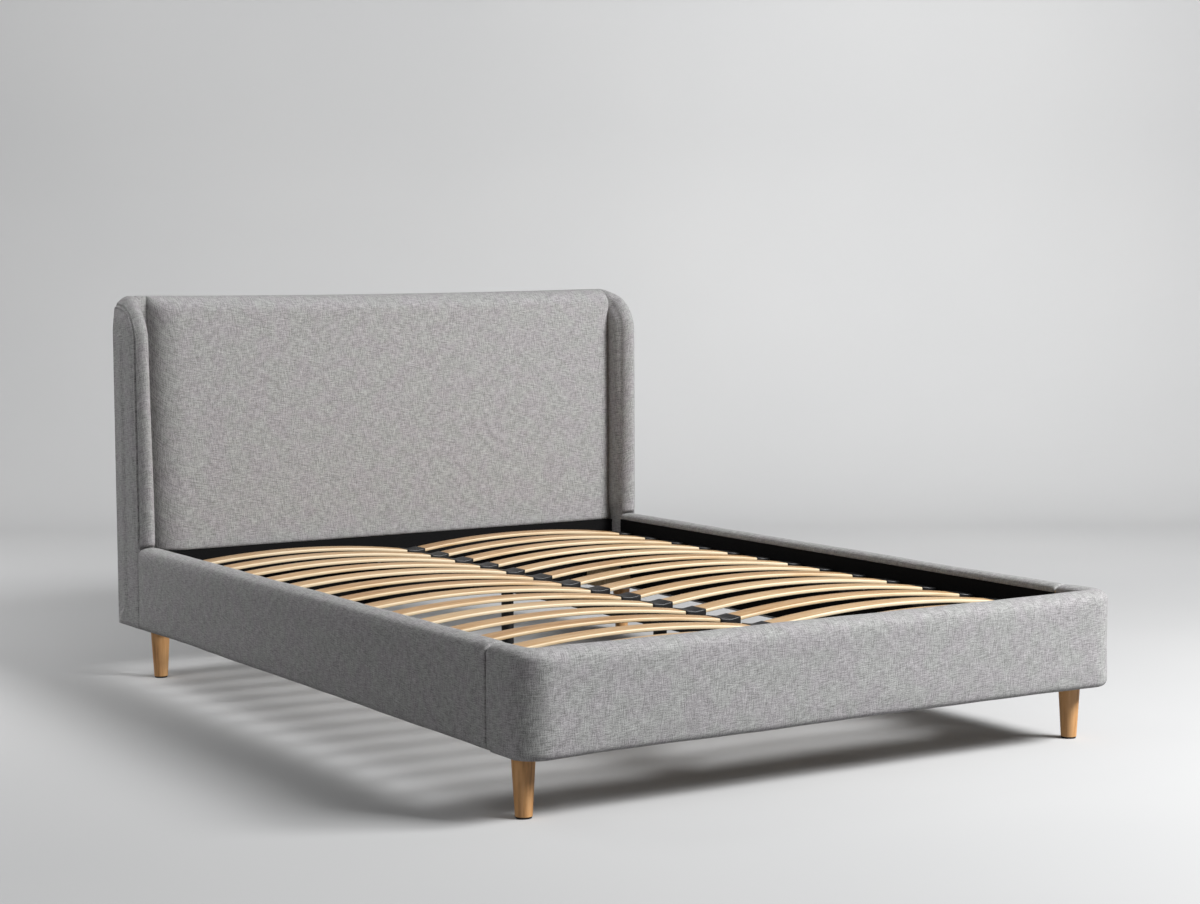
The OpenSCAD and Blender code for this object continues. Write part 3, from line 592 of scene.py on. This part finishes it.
def cushion_section(x, half_w, back_y, frame_top):
    """Closed section of the headboard's cushion at x, as (y, z), and how many points its front has."""
    corner = max(0.0, (abs(x) - (half_w - CORNER_W)) / CORNER_W)
    drop = CORNER_H * (1 - math.sqrt(max(0.0, 1 - corner * corner)))
    front = CUSHION_LO.y + CUSHION_BULGE * (x / half_w) ** 2 + side_fall(x, half_w)
    face_y = PANEL_LO.y - CLEAR
    over_y = ROLL_END + 2 * MM
    edge_y = back_y - BACK_EDGE_R
    low = CUSHION_LO.z
    top = HEAD_TOP - TOP_SAG * (1 - (x / half_w) ** 2)
    roll_y = max(ROLL_END - front, LEAST_ROLL)
    face = [[front - CUSHION_BULGE * math.sin(math.pi * t), lerp(low + CUSHION_LOW_R, top - CUSHION_TOP_R, t)]
            for t in np.linspace(0.02, 0.98, 40)]
    line = np.vstack([
        [[face_y, low]],
        arc_points((front + CUSHION_LOW_R, low + CUSHION_LOW_R), (CUSHION_LOW_R, CUSHION_LOW_R), 270, 184, 7),
        face,
        arc_points((front + roll_y, top - CUSHION_TOP_R), (roll_y, CUSHION_TOP_R), 178, 92, 14),
    ])
    line[:, 0] = np.minimum(line[:, 0], ROLL_END)
    share = np.clip((line[:, 1] - DROP_START_Z) / (top - DROP_START_Z), 0.0, 1.0)
    line[:, 1] -= drop * share ** 1.3
    cap_z = max(top - drop, frame_top + 1.6 * MM)
    back = np.vstack([
        [[over_y, cap_z]],
        [[lerp(over_y, edge_y, t), cap_z] for t in (0.35, 0.7)],
        arc_points((edge_y, cap_z - BACK_EDGE_R), (BACK_EDGE_R, BACK_EDGE_R), 90, 0, 5),
        [[back_y, frame_top + CLEAR], [face_y, frame_top + CLEAR]],
    ])
    back[:, 1] = np.maximum(back[:, 1], frame_top + CLEAR)
    return np.vstack([line, back]), len(line)


def headboard_cushion(linen):
    """The padded front of the headboard, crowned, drawn in at both sides and rolled over the top."""
    half_w = CUSHION_HI.x - CUSHION_SIDE_GAP
    turn = np.sin(np.radians(np.linspace(0, 90, 24)))
    left_end = -half_w + LEFT_GAP + LEFT_ROLL
    right_end = half_w - RIGHT_ROLL
    stretches = [np.linspace(-half_w, -half_w + LEFT_GAP, 8), left_end - LEFT_ROLL * turn,
                 np.linspace(left_end, right_end, 100), right_end + RIGHT_ROLL * turn]
    xs = np.unique(np.concatenate(stretches).round(6))
    sections = []
    for x in xs:
        section, front_count = cushion_section(x, half_w, CUSHION_HI.y, PANEL_HI.z)
        sections.append(np.array([[x, y, z] for y, z in section]))
    body = np.array(sections)
    girth = [lengths_along(section) for section in body]
    for r, x in enumerate(xs):
        inside = smooth_step((half_w - abs(x)) / (60 * MM))
        for k in range(1, front_count - 2):
            body[r, k, 1] -= abs(0.9 * cloth_ripple(x, body[r, k, 2], 4.0)) * inside
    body[:, :front_count] += swollen(body[:, :front_count], CUSHION_SWELL)
    n = body.shape[1]
    verts = body.reshape(-1, 3)
    uvs = [(x, girth[r][k]) for r, x in enumerate(xs) for k in range(n)]
    faces = ring_faces(len(xs), n)
    faces += [tuple(range(n))[::-1], tuple((len(xs) - 1) * n + k for k in range(n))]
    return make_mesh("headboard_padding", verts, faces, uvs, [linen])


# Wings. Each point of a section is (depth in from the bed's side, reach outside the seam), in mm, and
# the same point of the four sections lies on one line round the wing. The right wing is softer inside.
WING_FRONT = [(0, -62), (0, -44), (0.6, -30), (1.8, -19), (3.6, -11), (5.4, -5), (7.2, 0.5), (9.2, 5.5),
              (12.7, 11.5), (17.7, 17.5), (24, 22.3), (30.5, 24.2), (36.5, 22.3), (41.2, 17.5), (44.6, 10.5),
              (46.3, 2), (47, -8), (47, -22), (47, -45), (47, -62)]
WING_TOP = [(0, -78), (0, -60), (1.0, -44), (2.8, -31), (5.4, -20), (8.2, -11.5), (11.4, -4), (15.2, 3),
            (20, 9.6), (25.5, 15.2), (31, 19.4), (36.5, 22.4), (41.5, 23.8), (46, 23.6), (50.5, 22),
            (54.5, 19), (58, 14.5), (61, 8), (63, -1), (64, -12)]
WING_BACK = [(0, -14), (0, -12.5), (0, -11), (0.2, -9.5), (0.7, -7), (1.6, -3.6), (3, -1.4), (5.5, -0.4),
             (9, 0), (17.5, 0), (24, 0), (30.5, 0), (36.5, 0), (41, 0), (44.6, 0), (46.3, -0.6), (47, -2),
             (47, -5), (47, -8), (47, -10)]
WING_JOINT = [(0, -62), (0, -40), (0.4, -24), (1.0, -15), (1.9, -9), (3.2, -5), (5, -2.6), (8, -1.6),
              (12, -1.2), (17.5, -1.2), (24, -1.2), (30.5, -1.2), (36.5, -1.2), (41, -1.2), (44.6, -1.4),
              (46.3, -2.6), (47, -5), (47, -10), (47, -26), (47, -40)]
SOFT_INSIDE = [(17.0, 16.6), (22.0, 19.4), (28, 19.6), (34, 17.4), (39.5, 13.8), (44.4, 9.0), (48.6, 2.6),
               (51.8, -6), (54.0, -17), (55.2, -31), (55.6, -62)]
SEAM_COLUMN = 6
COLUMN_STEPS = 5
SWEEP_Y = 125 * MM
SWEEP_Z = 95 * MM
CROWN = 19 * MM
TOP_REACH = 23.8 * MM
NOSE_THINS = 0.3
BAND_NARROWS = 0.13
BAND_BLEND = 20 * MM
BAND_WIDTH = 62 * MM
BAND_CLOTH_WIDTH = 58 * MM
BAND_CLOTH_PLACE = 0.5
BAND_CLOTH_SHEAR = 0.8
CROSS_SEAM_ANGLE = 36.0
CROSS_SEAM_SPREAD = 0.55
CROSS_SEAM_DEPTH = 1.4 * MM
SIDE_BULGE = 4.0 * MM
RAIL_END_ROLL = 9 * MM
SETTLE_HEIGHT = 30 * MM
BACK_ROLL = 8 * MM
BACK_SETTLE = 60 * MM
SHOULDER_Y = WING_SEAM_Y + SWEEP_Y
SHOULDER_Z = WING_HI.z - CROWN - SWEEP_Z
BAND_HEIGHTS = np.concatenate([RAIL_TOP + np.array([0.4, 1.2, 2.6, 4.5, 7.0, 10.0, 14.0, 20.0, 28.0]) * MM,
                               np.linspace(RAIL_TOP + 38 * MM, SHOULDER_Z, 44)])
NEAR_CROSS_SEAM = CROSS_SEAM_ANGLE + np.array([-1.6, -0.8, -0.4, 0, 0.4, 0.8, 1.6])
SHOULDER_ANGLES = np.unique(np.concatenate([np.linspace(0, 90, 34)[1:], NEAR_CROSS_SEAM]))


def wing_columns(side):
    """The four sections with columns close together, each column's distance from the seam, and how far
    the seam's relief stands out there."""
    kept = len(WING_FRONT) - len(SOFT_INSIDE)
    front = WING_FRONT[:kept] + SOFT_INSIDE if side > 0 else WING_FRONT
    sections = (front, WING_TOP, WING_BACK, WING_JOINT)
    lines = [rounded(np.array(line) * MM, COLUMN_STEPS) for line in sections]
    girth = lengths_along(lines[0])
    seam = SEAM_COLUMN * COLUMN_STEPS
    index = np.arange(len(girth))
    fine = np.unique(np.concatenate([index, np.arange(seam - 9, seam + 10, 0.5)]))
    dense = [np.stack([np.interp(fine, index, line[:, k]) for k in (0, 1)], axis=1) for line in lines]
    from_seam = np.interp(fine, index, girth - girth[seam])

    def hump(at, height, width):
        return height * MM * np.exp(-((from_seam / MM - at) / width) ** 2)

    piping = hump(-4.0, 2.3, 2.2) + hump(5.5, 0.8, 3.0)
    grooves = hump(-13.0, 1.2, 6.0) + hump(0.4, 2.8, 1.7)
    return dense, from_seam, piping - grooves


def in_band(reach):
    """From 0 on the side panel to 1 on the rounded band, by the reach outside the seam."""
    return float(smooth_step((reach + BAND_BLEND) / BAND_BLEND))


def thinned(reach, share):
    """The reach, with only a share of what stands outside the seam."""
    return reach * share if reach > 0 else reach


def rail_side_points(back, joint):
    """A column's line along the wing's underside and up beside the rail, to the rail's top."""
    low = RAIL_Z - back[1]
    seam_y = WING_SEAM_Y - joint[1]
    points = [(lerp(back[0], joint[0], t), lerp(WING_HI.y + back[1], seam_y, t), low)
              for t in np.linspace(0, 1, 9)[:-1]]
    return points + [(joint[0], seam_y, lerp(low, RAIL_TOP, t)) for t in np.linspace(0, 1, 16)[:-1]]


def band_points(front, joint, normal, relief):
    """A column's line up the front of the wing, from the rail's top to the shoulder."""
    points = []
    for z in BAND_HEIGHTS:
        up = (z - RAIL_TOP) / (SHOULDER_Z - RAIL_TOP)
        rise = math.sqrt(1 - (1 - min(1.0, (z - RAIL_TOP) / RAIL_END_ROLL)) ** 2)
        settle = float(smooth_step((z - RAIL_TOP) / SETTLE_HEIGHT))
        depth, reach = front
        depth *= 1 - BAND_NARROWS * float(smooth_step(up)) * in_band(reach)
        depth += normal[0] * relief * settle
        reach = thinned(reach, 1 - NOSE_THINS * up ** 2) + normal[1] * relief * settle
        share = rise if reach > 0 else settle
        points.append((lerp(joint[0], depth, share), WING_SEAM_Y - lerp(joint[1], reach, share), z))
    return points


def shoulder_points(front, top, normals, from_seam, relief):
    """A column's line round the shoulder, where the wing's front turns into its top."""
    banded = smooth_step(from_seam / (3 * MM)) * smooth_step((BAND_WIDTH - from_seam) / (12 * MM))
    points = []
    for angle in SHOULDER_ANGLES:
        turn = float(smooth_step((angle - 50) / 32))
        narrow = BAND_NARROWS * (1 - turn) * in_band(front[1])
        depth = lerp(front[0] * (1 - narrow), top[0], turn)
        share = lerp(1 - NOSE_THINS, CROWN / TOP_REACH, angle / 90)
        groove = math.exp(-((angle - CROSS_SEAM_ANGLE) / CROSS_SEAM_SPREAD) ** 2)
        stitch = relief - CROSS_SEAM_DEPTH * banded * groove
        normal = lerp(*normals, turn)
        depth += normal[0] * stitch
        reach = thinned(lerp(front[1], top[1], turn), share) + normal[1] * stitch
        rad = math.radians(angle)
        y = SHOULDER_Y - (SWEEP_Y + reach) * math.cos(rad)
        points.append((depth, y, SHOULDER_Z + (SWEEP_Z + reach) * math.sin(rad)))
    return points


def back_points(top, back, normal, relief):
    """A column's line back along the wing's top, over its rear edge and down the back."""
    depth = top[0] + normal[0] * relief
    top_z = SHOULDER_Z + SWEEP_Z + thinned(top[1], CROWN / TOP_REACH) + normal[1] * relief
    back_y = WING_HI.y + back[1]
    bend = min(BACK_ROLL, back_y - SHOULDER_Y - 1 * MM)
    points = [(depth, back_y - bend, top_z)]
    for angle in (60, 30, 0):
        rad = math.radians(angle)
        points.append((depth, back_y - bend + bend * math.cos(rad), top_z - bend + bend * math.sin(rad)))
    for t in np.linspace(0, 1, 34)[1:]:
        z = lerp(top_z - bend, RAIL_Z - back[1], t)
        share = float(smooth_step((top_z - z) / BACK_SETTLE))
        points.append((lerp(depth, back[0], share), back_y, z))
    return points


def side_rings(rim):
    """Rings that close the wing's outer face, bulging slightly towards its middle line."""
    rim = np.array(rim)
    middle_y = (WING_SEAM_Y + WING_HI.y) / 2 + 8 * MM
    middle_z = np.clip(rim[:, 2], RAIL_Z + 50 * MM, WING_HI.z - 100 * MM)
    spine = np.stack([rim[:, 0], np.full(len(rim), middle_y), middle_z], axis=1)
    rings = []
    for t in (0.97, 0.8, 0.6, 0.4, 0.2):
        ring = lerp(rim, spine, t)
        ring[:, 0] -= SIDE_BULGE * smooth_step(t)
        rings.append([tuple(p) for p in ring])
    return rings


def wing(side, linen):
    """One padded wing: side panel, piped seam, rounded band along the front and top, inner face."""
    (front, top, back, joint), from_seam, relief = wing_columns(side)
    front_normal = normals_2d(front)
    top_normal = normals_2d(top)
    rings = []
    for c in range(len(front)):
        normals = front_normal[c], top_normal[c]
        rings.append(rail_side_points(back[c], joint[c])
                     + band_points(front[c], joint[c], normals[0], relief[c])
                     + shoulder_points(front[c], top[c], normals, from_seam[c], relief[c])
                     + back_points(top[c], back[c], normals[1], relief[c]))
    closing = side_rings(rings[0])
    rings = closing + rings
    reach = np.concatenate([np.full(len(closing), -1.0), from_seam])
    n = len(rings[0])
    verts, uvs = [], []
    for c, ring in enumerate(rings):
        on_band = 0 <= reach[c] <= BAND_CLOTH_WIDTH
        for depth, y, z in ring:
            verts.append((side * (OUTER_X - depth), y, z))
            along_band = z + (y - WING_SEAM_Y) * BAND_CLOTH_SHEAR
            uvs.append((reach[c] + BAND_CLOTH_PLACE, along_band) if on_band else (y, z))
    faces = ring_faces(len(rings), n, flip=side < 0)
    outer_cap = tuple(range(n))
    inner_cap = tuple((len(rings) - 1) * n + k for k in range(n))
    faces += [outer_cap, inner_cap[::-1]] if side < 0 else [outer_cap[::-1], inner_cap]
    return make_mesh("headboard_wing_padding_" + SIDE_NAME[side], verts, faces, uvs, [linen])


# Slats and their caps
SLAT_EDGE_R = 2.6 * MM
SLAT_THICK = 8 * MM
SLAT_END_GAP = 1.5 * MM
SLAT_RINGS = 44
CORNER_POINTS = 5
FLAT_SIDES = (CORNER_POINTS - 1, 3 * CORNER_POINTS - 1)
CAP_FLOOR_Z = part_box("centre_rail")[1].z
SLAT_LO, SLAT_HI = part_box("slat_left_01")
SLAT_HALF_W = (SLAT_HI.y - SLAT_LO.y) / 2
SLAT_FIRST_Y = (SLAT_LO.y + SLAT_HI.y) / 2
SLAT_PITCH = SLAT_LO.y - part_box("slat_left_02")[0].y
CAP_WALL = 1.3 * MM
CAP_HALF_W = SLAT_HALF_W + CLEAR + CAP_WALL
CAP_LENGTH = 40 * MM
CAP_RIM = 0.9 * MM
CAP_BORE_R = 0.8 * MM
CAP_RIM_R = 2.0 * MM
CAP_EDGE_R = 2.4 * MM
CENTRE_CAP_IN = 6 * MM
CAP_PEG_OFF = 8 * MM
PEG_SIDES = 16
PEG_RINGS = [(-0.5 * MM, 4.0 * MM), (-9 * MM, 4.0 * MM), (-11 * MM, 3.4 * MM), (-12 * MM, 2.2 * MM)]


def rounded_box(half_w, low, high, radius):
    """Closed outline of a section with four rounded corners, as (across, height)."""
    corners = ((half_w, high, 0), (-half_w, high, 90), (-half_w, low, 180), (half_w, low, 270))
    outline = []
    for y, z, start in corners:
        centre = (y - math.copysign(radius, y), z + (radius if z == low else -radius))
        outline.append(arc_points(centre, (radius, radius), start, start + 90, CORNER_POINTS))
    return np.vstack(outline)


def slat_piece(node_name, face_material, edge_material):
    """A bowed slat with rounded long edges, over the place of its CAD node."""
    lo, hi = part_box(node_name)
    mid = (lo + hi) / 2
    rise = (hi.z - lo.z) - SLAT_THICK
    half = (hi.x - lo.x) / 2
    radius = (half * half + rise * rise) / (2 * rise) + SLAT_THICK / 2
    centre_z = hi.z - SLAT_THICK / 2 - radius
    half_angle = math.asin((half - SLAT_END_GAP) / (radius + SLAT_THICK / 2))
    outline = rounded_box((hi.y - lo.y) / 2, -SLAT_THICK / 2, SLAT_THICK / 2, SLAT_EDGE_R)
    n = len(outline)
    verts = []
    for angle in np.linspace(-half_angle, half_angle, SLAT_RINGS):
        for y, z in outline:
            reach = radius + z
            verts.append((mid.x + reach * math.sin(angle), mid.y + y, centre_z + reach * math.cos(angle)))
    faces = ring_faces(SLAT_RINGS, n, flip=True)
    slots = [0 if i in FLAT_SIDES else 1 for i in range(n)] * (SLAT_RINGS - 1)
    faces += [tuple(range(n)), tuple((SLAT_RINGS - 1) * n + k for k in range(n))[::-1]]
    slots += [1, 1]
    piece = make_mesh(node_name + "_lath", verts, faces, None, [face_material, edge_material], slots)
    mark_sharp(piece, 40)
    return piece


def slat_rise(reach):
    """Height of a slat's underside above the ledge, by the distance in from the slat's end."""
    half = (SLAT_HI.x - SLAT_LO.x) / 2
    bow = SLAT_HI.z - SLAT_LO.z - SLAT_THICK
    radius = (half * half + bow * bow) / (2 * bow)
    return SLAT_LO.z - CAP_FLOOR_Z + math.sqrt(radius ** 2 - (half - reach) ** 2) - (radius - bow)


def cap_top(reach):
    """Height of a cap's top above the ledge, by the distance in from the slat's end."""
    return slat_rise(reach) + SLAT_THICK + CAP_WALL


def cap_mouth(slat_end, mouth):
    """Rings of a cap along its bore, from the slat's end out to the mouth, and over the mouth's rim.
    A ring is its x and its outline."""
    rings = []
    for x in np.linspace(slat_end, mouth, 4):
        rise = slat_rise(abs(x - slat_end))
        bore = rounded_box(CAP_HALF_W - CAP_WALL, rise - CLEAR, rise + SLAT_THICK + CLEAR, CAP_BORE_R)
        rings.append((x, bore))
    top = cap_top(abs(mouth - slat_end))
    rings.append((mouth, rounded_box(CAP_HALF_W - CAP_RIM, CAP_RIM, top - CAP_RIM, CAP_RIM_R)))
    behind_rim = mouth - math.copysign(CAP_RIM, mouth - slat_end)
    rings.append((behind_rim, rounded_box(CAP_HALF_W, 0.0, top, CAP_EDGE_R)))
    return rings


def add_loft(verts, faces, rings, y, flip=False):
    """Appends a closed tube through the rings, each (x, outline), moved along y."""
    first = len(verts)
    n = len(rings[0][1])
    for x, outline in rings:
        verts += [(x, y + across, CAP_FLOOR_Z + up) for across, up in outline]
    faces += [tuple(first + i for i in f) for f in ring_faces(len(rings), n, flip=flip)]
    start = tuple(first + i for i in range(n))
    end = tuple(first + (len(rings) - 1) * n + i for i in range(n))
    faces += [start, end[::-1]] if flip else [start[::-1], end]


def add_peg(verts, faces, x, y):
    """Appends a tapered peg that holds a cap in its hole."""
    first = len(verts)
    for z, radius in PEG_RINGS:
        for angle in np.linspace(0, math.tau, PEG_SIDES, endpoint=False):
            verts.append((x + radius * math.cos(angle), y + radius * math.sin(angle), CAP_FLOOR_Z + z))
    faces += [tuple(first + i for i in f) for f in ring_faces(len(PEG_RINGS), PEG_SIDES, flip=True)]
    faces.append(tuple(first + (len(PEG_RINGS) - 1) * PEG_SIDES + i for i in range(PEG_SIDES))[::-1])


def slat_rows():
    """Places of the slats along the bed."""
    boxes = [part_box(name) for name in sorted(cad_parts) if name.startswith("slat_left_")]
    return [(low.y + high.y) / 2 for low, high in boxes]


def side_caps(plastic):
    """Moulded end caps along both ledges."""
    slat_end = -SLAT_LO.x
    back = -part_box("side_caps")[0].x
    top = cap_top(0.0)
    rings = cap_mouth(slat_end, back - CAP_LENGTH)
    rings.append((slat_end, rounded_box(CAP_HALF_W, 0.0, top, CAP_EDGE_R)))
    rings.append((back - 2.0 * MM, rounded_box(CAP_HALF_W, 0.0, top, CAP_EDGE_R)))
    rings.append((back - 0.6 * MM, rounded_box(CAP_HALF_W - 0.5 * MM, 0.4 * MM, top - 0.5 * MM, CAP_EDGE_R)))
    rings.append((back, rounded_box(CAP_HALF_W - 1.8 * MM, 1.6 * MM, top - 1.8 * MM, CAP_RIM_R)))
    verts, faces = [], []
    for side in (-1, 1):
        mirrored = [(side * x, outline) for x, outline in rings]
        for y in slat_rows():
            add_loft(verts, faces, mirrored, y, flip=side > 0)
            add_peg(verts, faces, side * (back - CAP_LENGTH / 2 + CAP_PEG_OFF), y)
    return finished_caps("side_caps_moulded", verts, faces, plastic)


def centre_caps(plastic):
    """Moulded double caps along the centre rail, each holding the ends of two slats."""
    slat_end = -SLAT_HI.x
    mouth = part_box("centre_caps")[1].x - CENTRE_CAP_IN
    half = cap_mouth(slat_end, mouth)
    for x in (mouth * 0.6, mouth * 0.3, slat_end):
        half.append((x, rounded_box(CAP_HALF_W, 0.0, cap_top(max(x - slat_end, 0.0)), CAP_EDGE_R)))
    rings = half + [(-x, outline) for x, outline in half[::-1]]
    verts, faces = [], []
    for y in slat_rows():
        add_loft(verts, faces, rings, y, flip=True)
        add_peg(verts, faces, 0.0, y)
    return finished_caps("centre_caps_moulded", verts, faces, plastic)


def finished_caps(name, verts, faces, plastic):
    """The piece of all caps of one kind."""
    piece = make_mesh(name, verts, faces, None, [plastic])
    mark_sharp(piece, 50)
    return piece


def mark_sharp(piece, angle):
    """Smooth shading that stops at real edges."""
    bpy.context.view_layer.objects.active = piece
    piece.select_set(True)
    bpy.ops.object.shade_smooth_by_angle(angle=math.radians(angle))
    piece.select_set(False)


def dress(node_name, material):
    """Gives a CAD node its finished material."""
    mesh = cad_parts[node_name].data
    mesh.materials.clear()
    mesh.materials.append(material)


# Stage, camera and light. The camera's place and angles were solved from the photograph's edges.
CAMERA_PLACE = (-2.9137, -4.7937, 1.0549)
CAMERA_TILT = 85.267
CAMERA_HEADING = -31.894
CAMERA_ROLL = -0.296
FOCAL_PX = 2422.3
PHOTO_W = 1200
SENSOR_W = 36.0
FLOOR_START = -9.0
FLOOR_HALF_W = 14.0
WALL_AHEAD = 5.2
WALL_BEND = 1.6
WALL_HEIGHT = 9.0


def studio_paper():
    """Pale paper that bounces less light than it shows. A camera behind it looks through it."""
    mat, tree, shader, node = new_material("studio_paper")
    place = node("ShaderNodeTexCoord").outputs["Object"]
    faint = node("ShaderNodeTexNoise", Vector=place, Scale=0.8, Detail=2.0).outputs["Fac"]
    pale = colour_ramp(node, faint, [(0.3, (0.58, 0.584, 0.588)), (0.7, (0.602, 0.604, 0.606))])
    seen = node("ShaderNodeLightPath").outputs["Is Camera Ray"]
    bounced = (0.28, 0.28, 0.285, 1.0)
    shown = node("ShaderNodeMix", {"data_type": "RGBA"}, Factor=seen, i6=bounced, i7=pale)
    tree.links.new(shown.outputs[2], shader.inputs["Base Color"])
    shader.inputs["Roughness"].default_value = 0.9
    shader.inputs["Specular IOR Level"].default_value = 0.1
    behind = math_node(node, "MULTIPLY", node("ShaderNodeNewGeometry").outputs["Backfacing"], seen)
    clear = node("ShaderNodeBsdfTransparent").outputs["BSDF"]
    paper = node("ShaderNodeMixShader", i0=behind, i1=shader.outputs["BSDF"], i2=clear)
    tree.links.new(paper.outputs["Shader"], tree.get_output_node("ALL").inputs["Surface"])
    return mat


def stage_floor():
    """A floor that sweeps up into a wall behind the bed, square to the camera's heading."""
    heading = math.radians(CAMERA_HEADING)
    ahead = Vector((-math.sin(heading), math.cos(heading), 0.0))
    right = Vector((math.cos(heading), math.sin(heading), 0.0))
    bend_at = WALL_AHEAD - WALL_BEND
    line = [(FLOOR_START, 0.0), (bend_at, 0.0)]
    for angle in np.linspace(-90, 0, 25)[1:]:
        rad = math.radians(angle)
        line.append((bend_at + WALL_BEND * math.cos(rad), WALL_BEND + WALL_BEND * math.sin(rad)))
    line.append((WALL_AHEAD, WALL_HEIGHT))
    verts = []
    for reach, z in line:
        for s in (-FLOOR_HALF_W, FLOOR_HALF_W):
            verts.append(ahead * reach + right * s + Vector((0.0, 0.0, z)))
    faces = [(2 * k, 2 * k + 1, 2 * k + 3, 2 * k + 2) for k in range(len(line) - 1)]
    return make_mesh("studio_floor", verts, faces, None, [studio_paper()])


def add_camera():
    data = bpy.data.cameras.new("camera")
    data.sensor_width = SENSOR_W
    data.lens = FOCAL_PX / PHOTO_W * SENSOR_W
    data.clip_end = 100.0
    camera = bpy.data.objects.new("camera", data)
    camera.location = CAMERA_PLACE
    heading = Matrix.Rotation(math.radians(CAMERA_HEADING), 3, "Z")
    tilt = Matrix.Rotation(math.radians(CAMERA_TILT), 3, "X")
    roll = Matrix.Rotation(math.radians(CAMERA_ROLL), 3, "Z")
    camera.rotation_euler = (heading @ tilt @ roll).to_euler()
    bpy.context.scene.collection.objects.link(camera)
    bpy.context.scene.camera = camera


def add_light(name, place, aim, size, power, spread=180.0):
    data = bpy.data.lights.new(name, "AREA")
    data.shape = "RECTANGLE"
    data.size, data.size_y = size
    data.energy = power
    data.spread = math.radians(spread)
    light = bpy.data.objects.new(name, data)
    light.location = place
    light.rotation_euler = (Vector(aim) - Vector(place)).to_track_quat("-Z", "Y").to_euler()
    bpy.context.scene.collection.objects.link(light)


def add_world(strength):
    world = bpy.data.worlds.new("studio")
    world.use_nodes = True
    world.node_tree.nodes["Background"].inputs["Color"].default_value = (1.0, 1.0, 1.0, 1.0)
    world.node_tree.nodes["Background"].inputs["Strength"].default_value = strength
    bpy.context.scene.world = world


# Making
linen = linen_material()
lining = lining_material()
birch_face = birch_material(False, SLAT_PITCH, SLAT_FIRST_Y)
birch_edge = birch_material(True, SLAT_PITCH, SLAT_FIRST_Y)
oak = oak_material()
pine = pine_material()
plastic = speckled_material("black_plastic_moulded", (0.005, 0.005, 0.0055), (0.010, 0.010, 0.011),
                            0.40, 500.0, 0.15 * MM)
steel = speckled_material("black_powder_coat", (0.006, 0.006, 0.0065), (0.012, 0.012, 0.013),
                          0.50, 900.0, 0.2 * MM)
zinc = speckled_material("zinc_plate", (0.42, 0.43, 0.45), (0.55, 0.56, 0.58), 0.36, 700.0, 0.1 * MM, 1.0)

NODE_MATERIALS = {
    "headboard_panel": pine, "headboard_frame": pine, "wing_boards": pine, "corner_blocks": pine,
    "side_rail_board_left": pine, "side_rail_board_right": pine, "foot_rail_board": pine,
    "headboard_lower_rail": lining, "headboard_back_cover": lining, "rail_linings": lining,
    "slat_ledge_left": steel, "slat_ledge_right": steel, "centre_rail": steel, "frame_brackets": steel,
    "centre_legs": steel, "leg_glides": plastic,
    "levelling_foot_front": plastic, "levelling_foot_rear": plastic,
    "leg_foot_left": oak, "leg_foot_right": oak, "leg_head_left": oak, "leg_head_right": oak,
    "leg_plates": zinc, "frame_fasteners": zinc,
}
for node_name, material in NODE_MATERIALS.items():
    dress(node_name, material)

padding = {
    side_rail(-1, linen): "side_rail_cover_left",
    side_rail(1, linen): "side_rail_cover_right",
    foot_rail(linen): "foot_rail_cover",
    headboard_cushion(linen): "headboard_cushion",
    wing(-1, linen): "headboard_wing_left",
    wing(1, linen): "headboard_wing_right",
}
for piece, node_name in padding.items():
    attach(piece, BODY)
    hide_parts(node_name)

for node_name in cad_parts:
    if node_name.startswith(("slat_left", "slat_right")):
        piece = slat_piece(node_name, birch_face, birch_edge)
        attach(piece, BODY)
        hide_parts(node_name)

for piece, node_name in ((side_caps(plastic), "side_caps"), (centre_caps(plastic), "centre_caps")):
    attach(piece, BODY)
    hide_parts(node_name)

stage_floor()
add_camera()
add_light("key_near", (3.0, -3.2, 3.2), (0.0, 0.6, 0.5), (1.2, 1.2), 212.0)
add_light("key_far", (2.8, -5.0, 4.4), (0.0, 0.4, 0.5), (1.8, 1.8), 340.0)
add_light("left_fill", (-5.5, -0.5, 2.2), (0.0, 0.0, 0.4), (3.0, 2.0), 42.0)
add_light("front_top", (-0.5, -3.0, 4.2), (0.0, 0.2, 0.3), (4.0, 3.0), 16.0)
add_light("wall", (1.95, 0.67, 3.5), (3.86, 3.72, 1.1), (2.0, 2.0), 36.0, spread=110.0)
add_light("behind_left", (-2.3, 2.5, 3.4), (-1.7, 2.5, 0.0), (2.4, 2.4), 38.0, spread=100.0)
add_light("wall_left", (-0.6, 3.2, 3.3), (0.6, 5.7, 1.3), (2.0, 2.0), 15.0, spread=110.0)
add_world(0.04)
bpy.context.scene.view_settings.view_transform = "Standard"
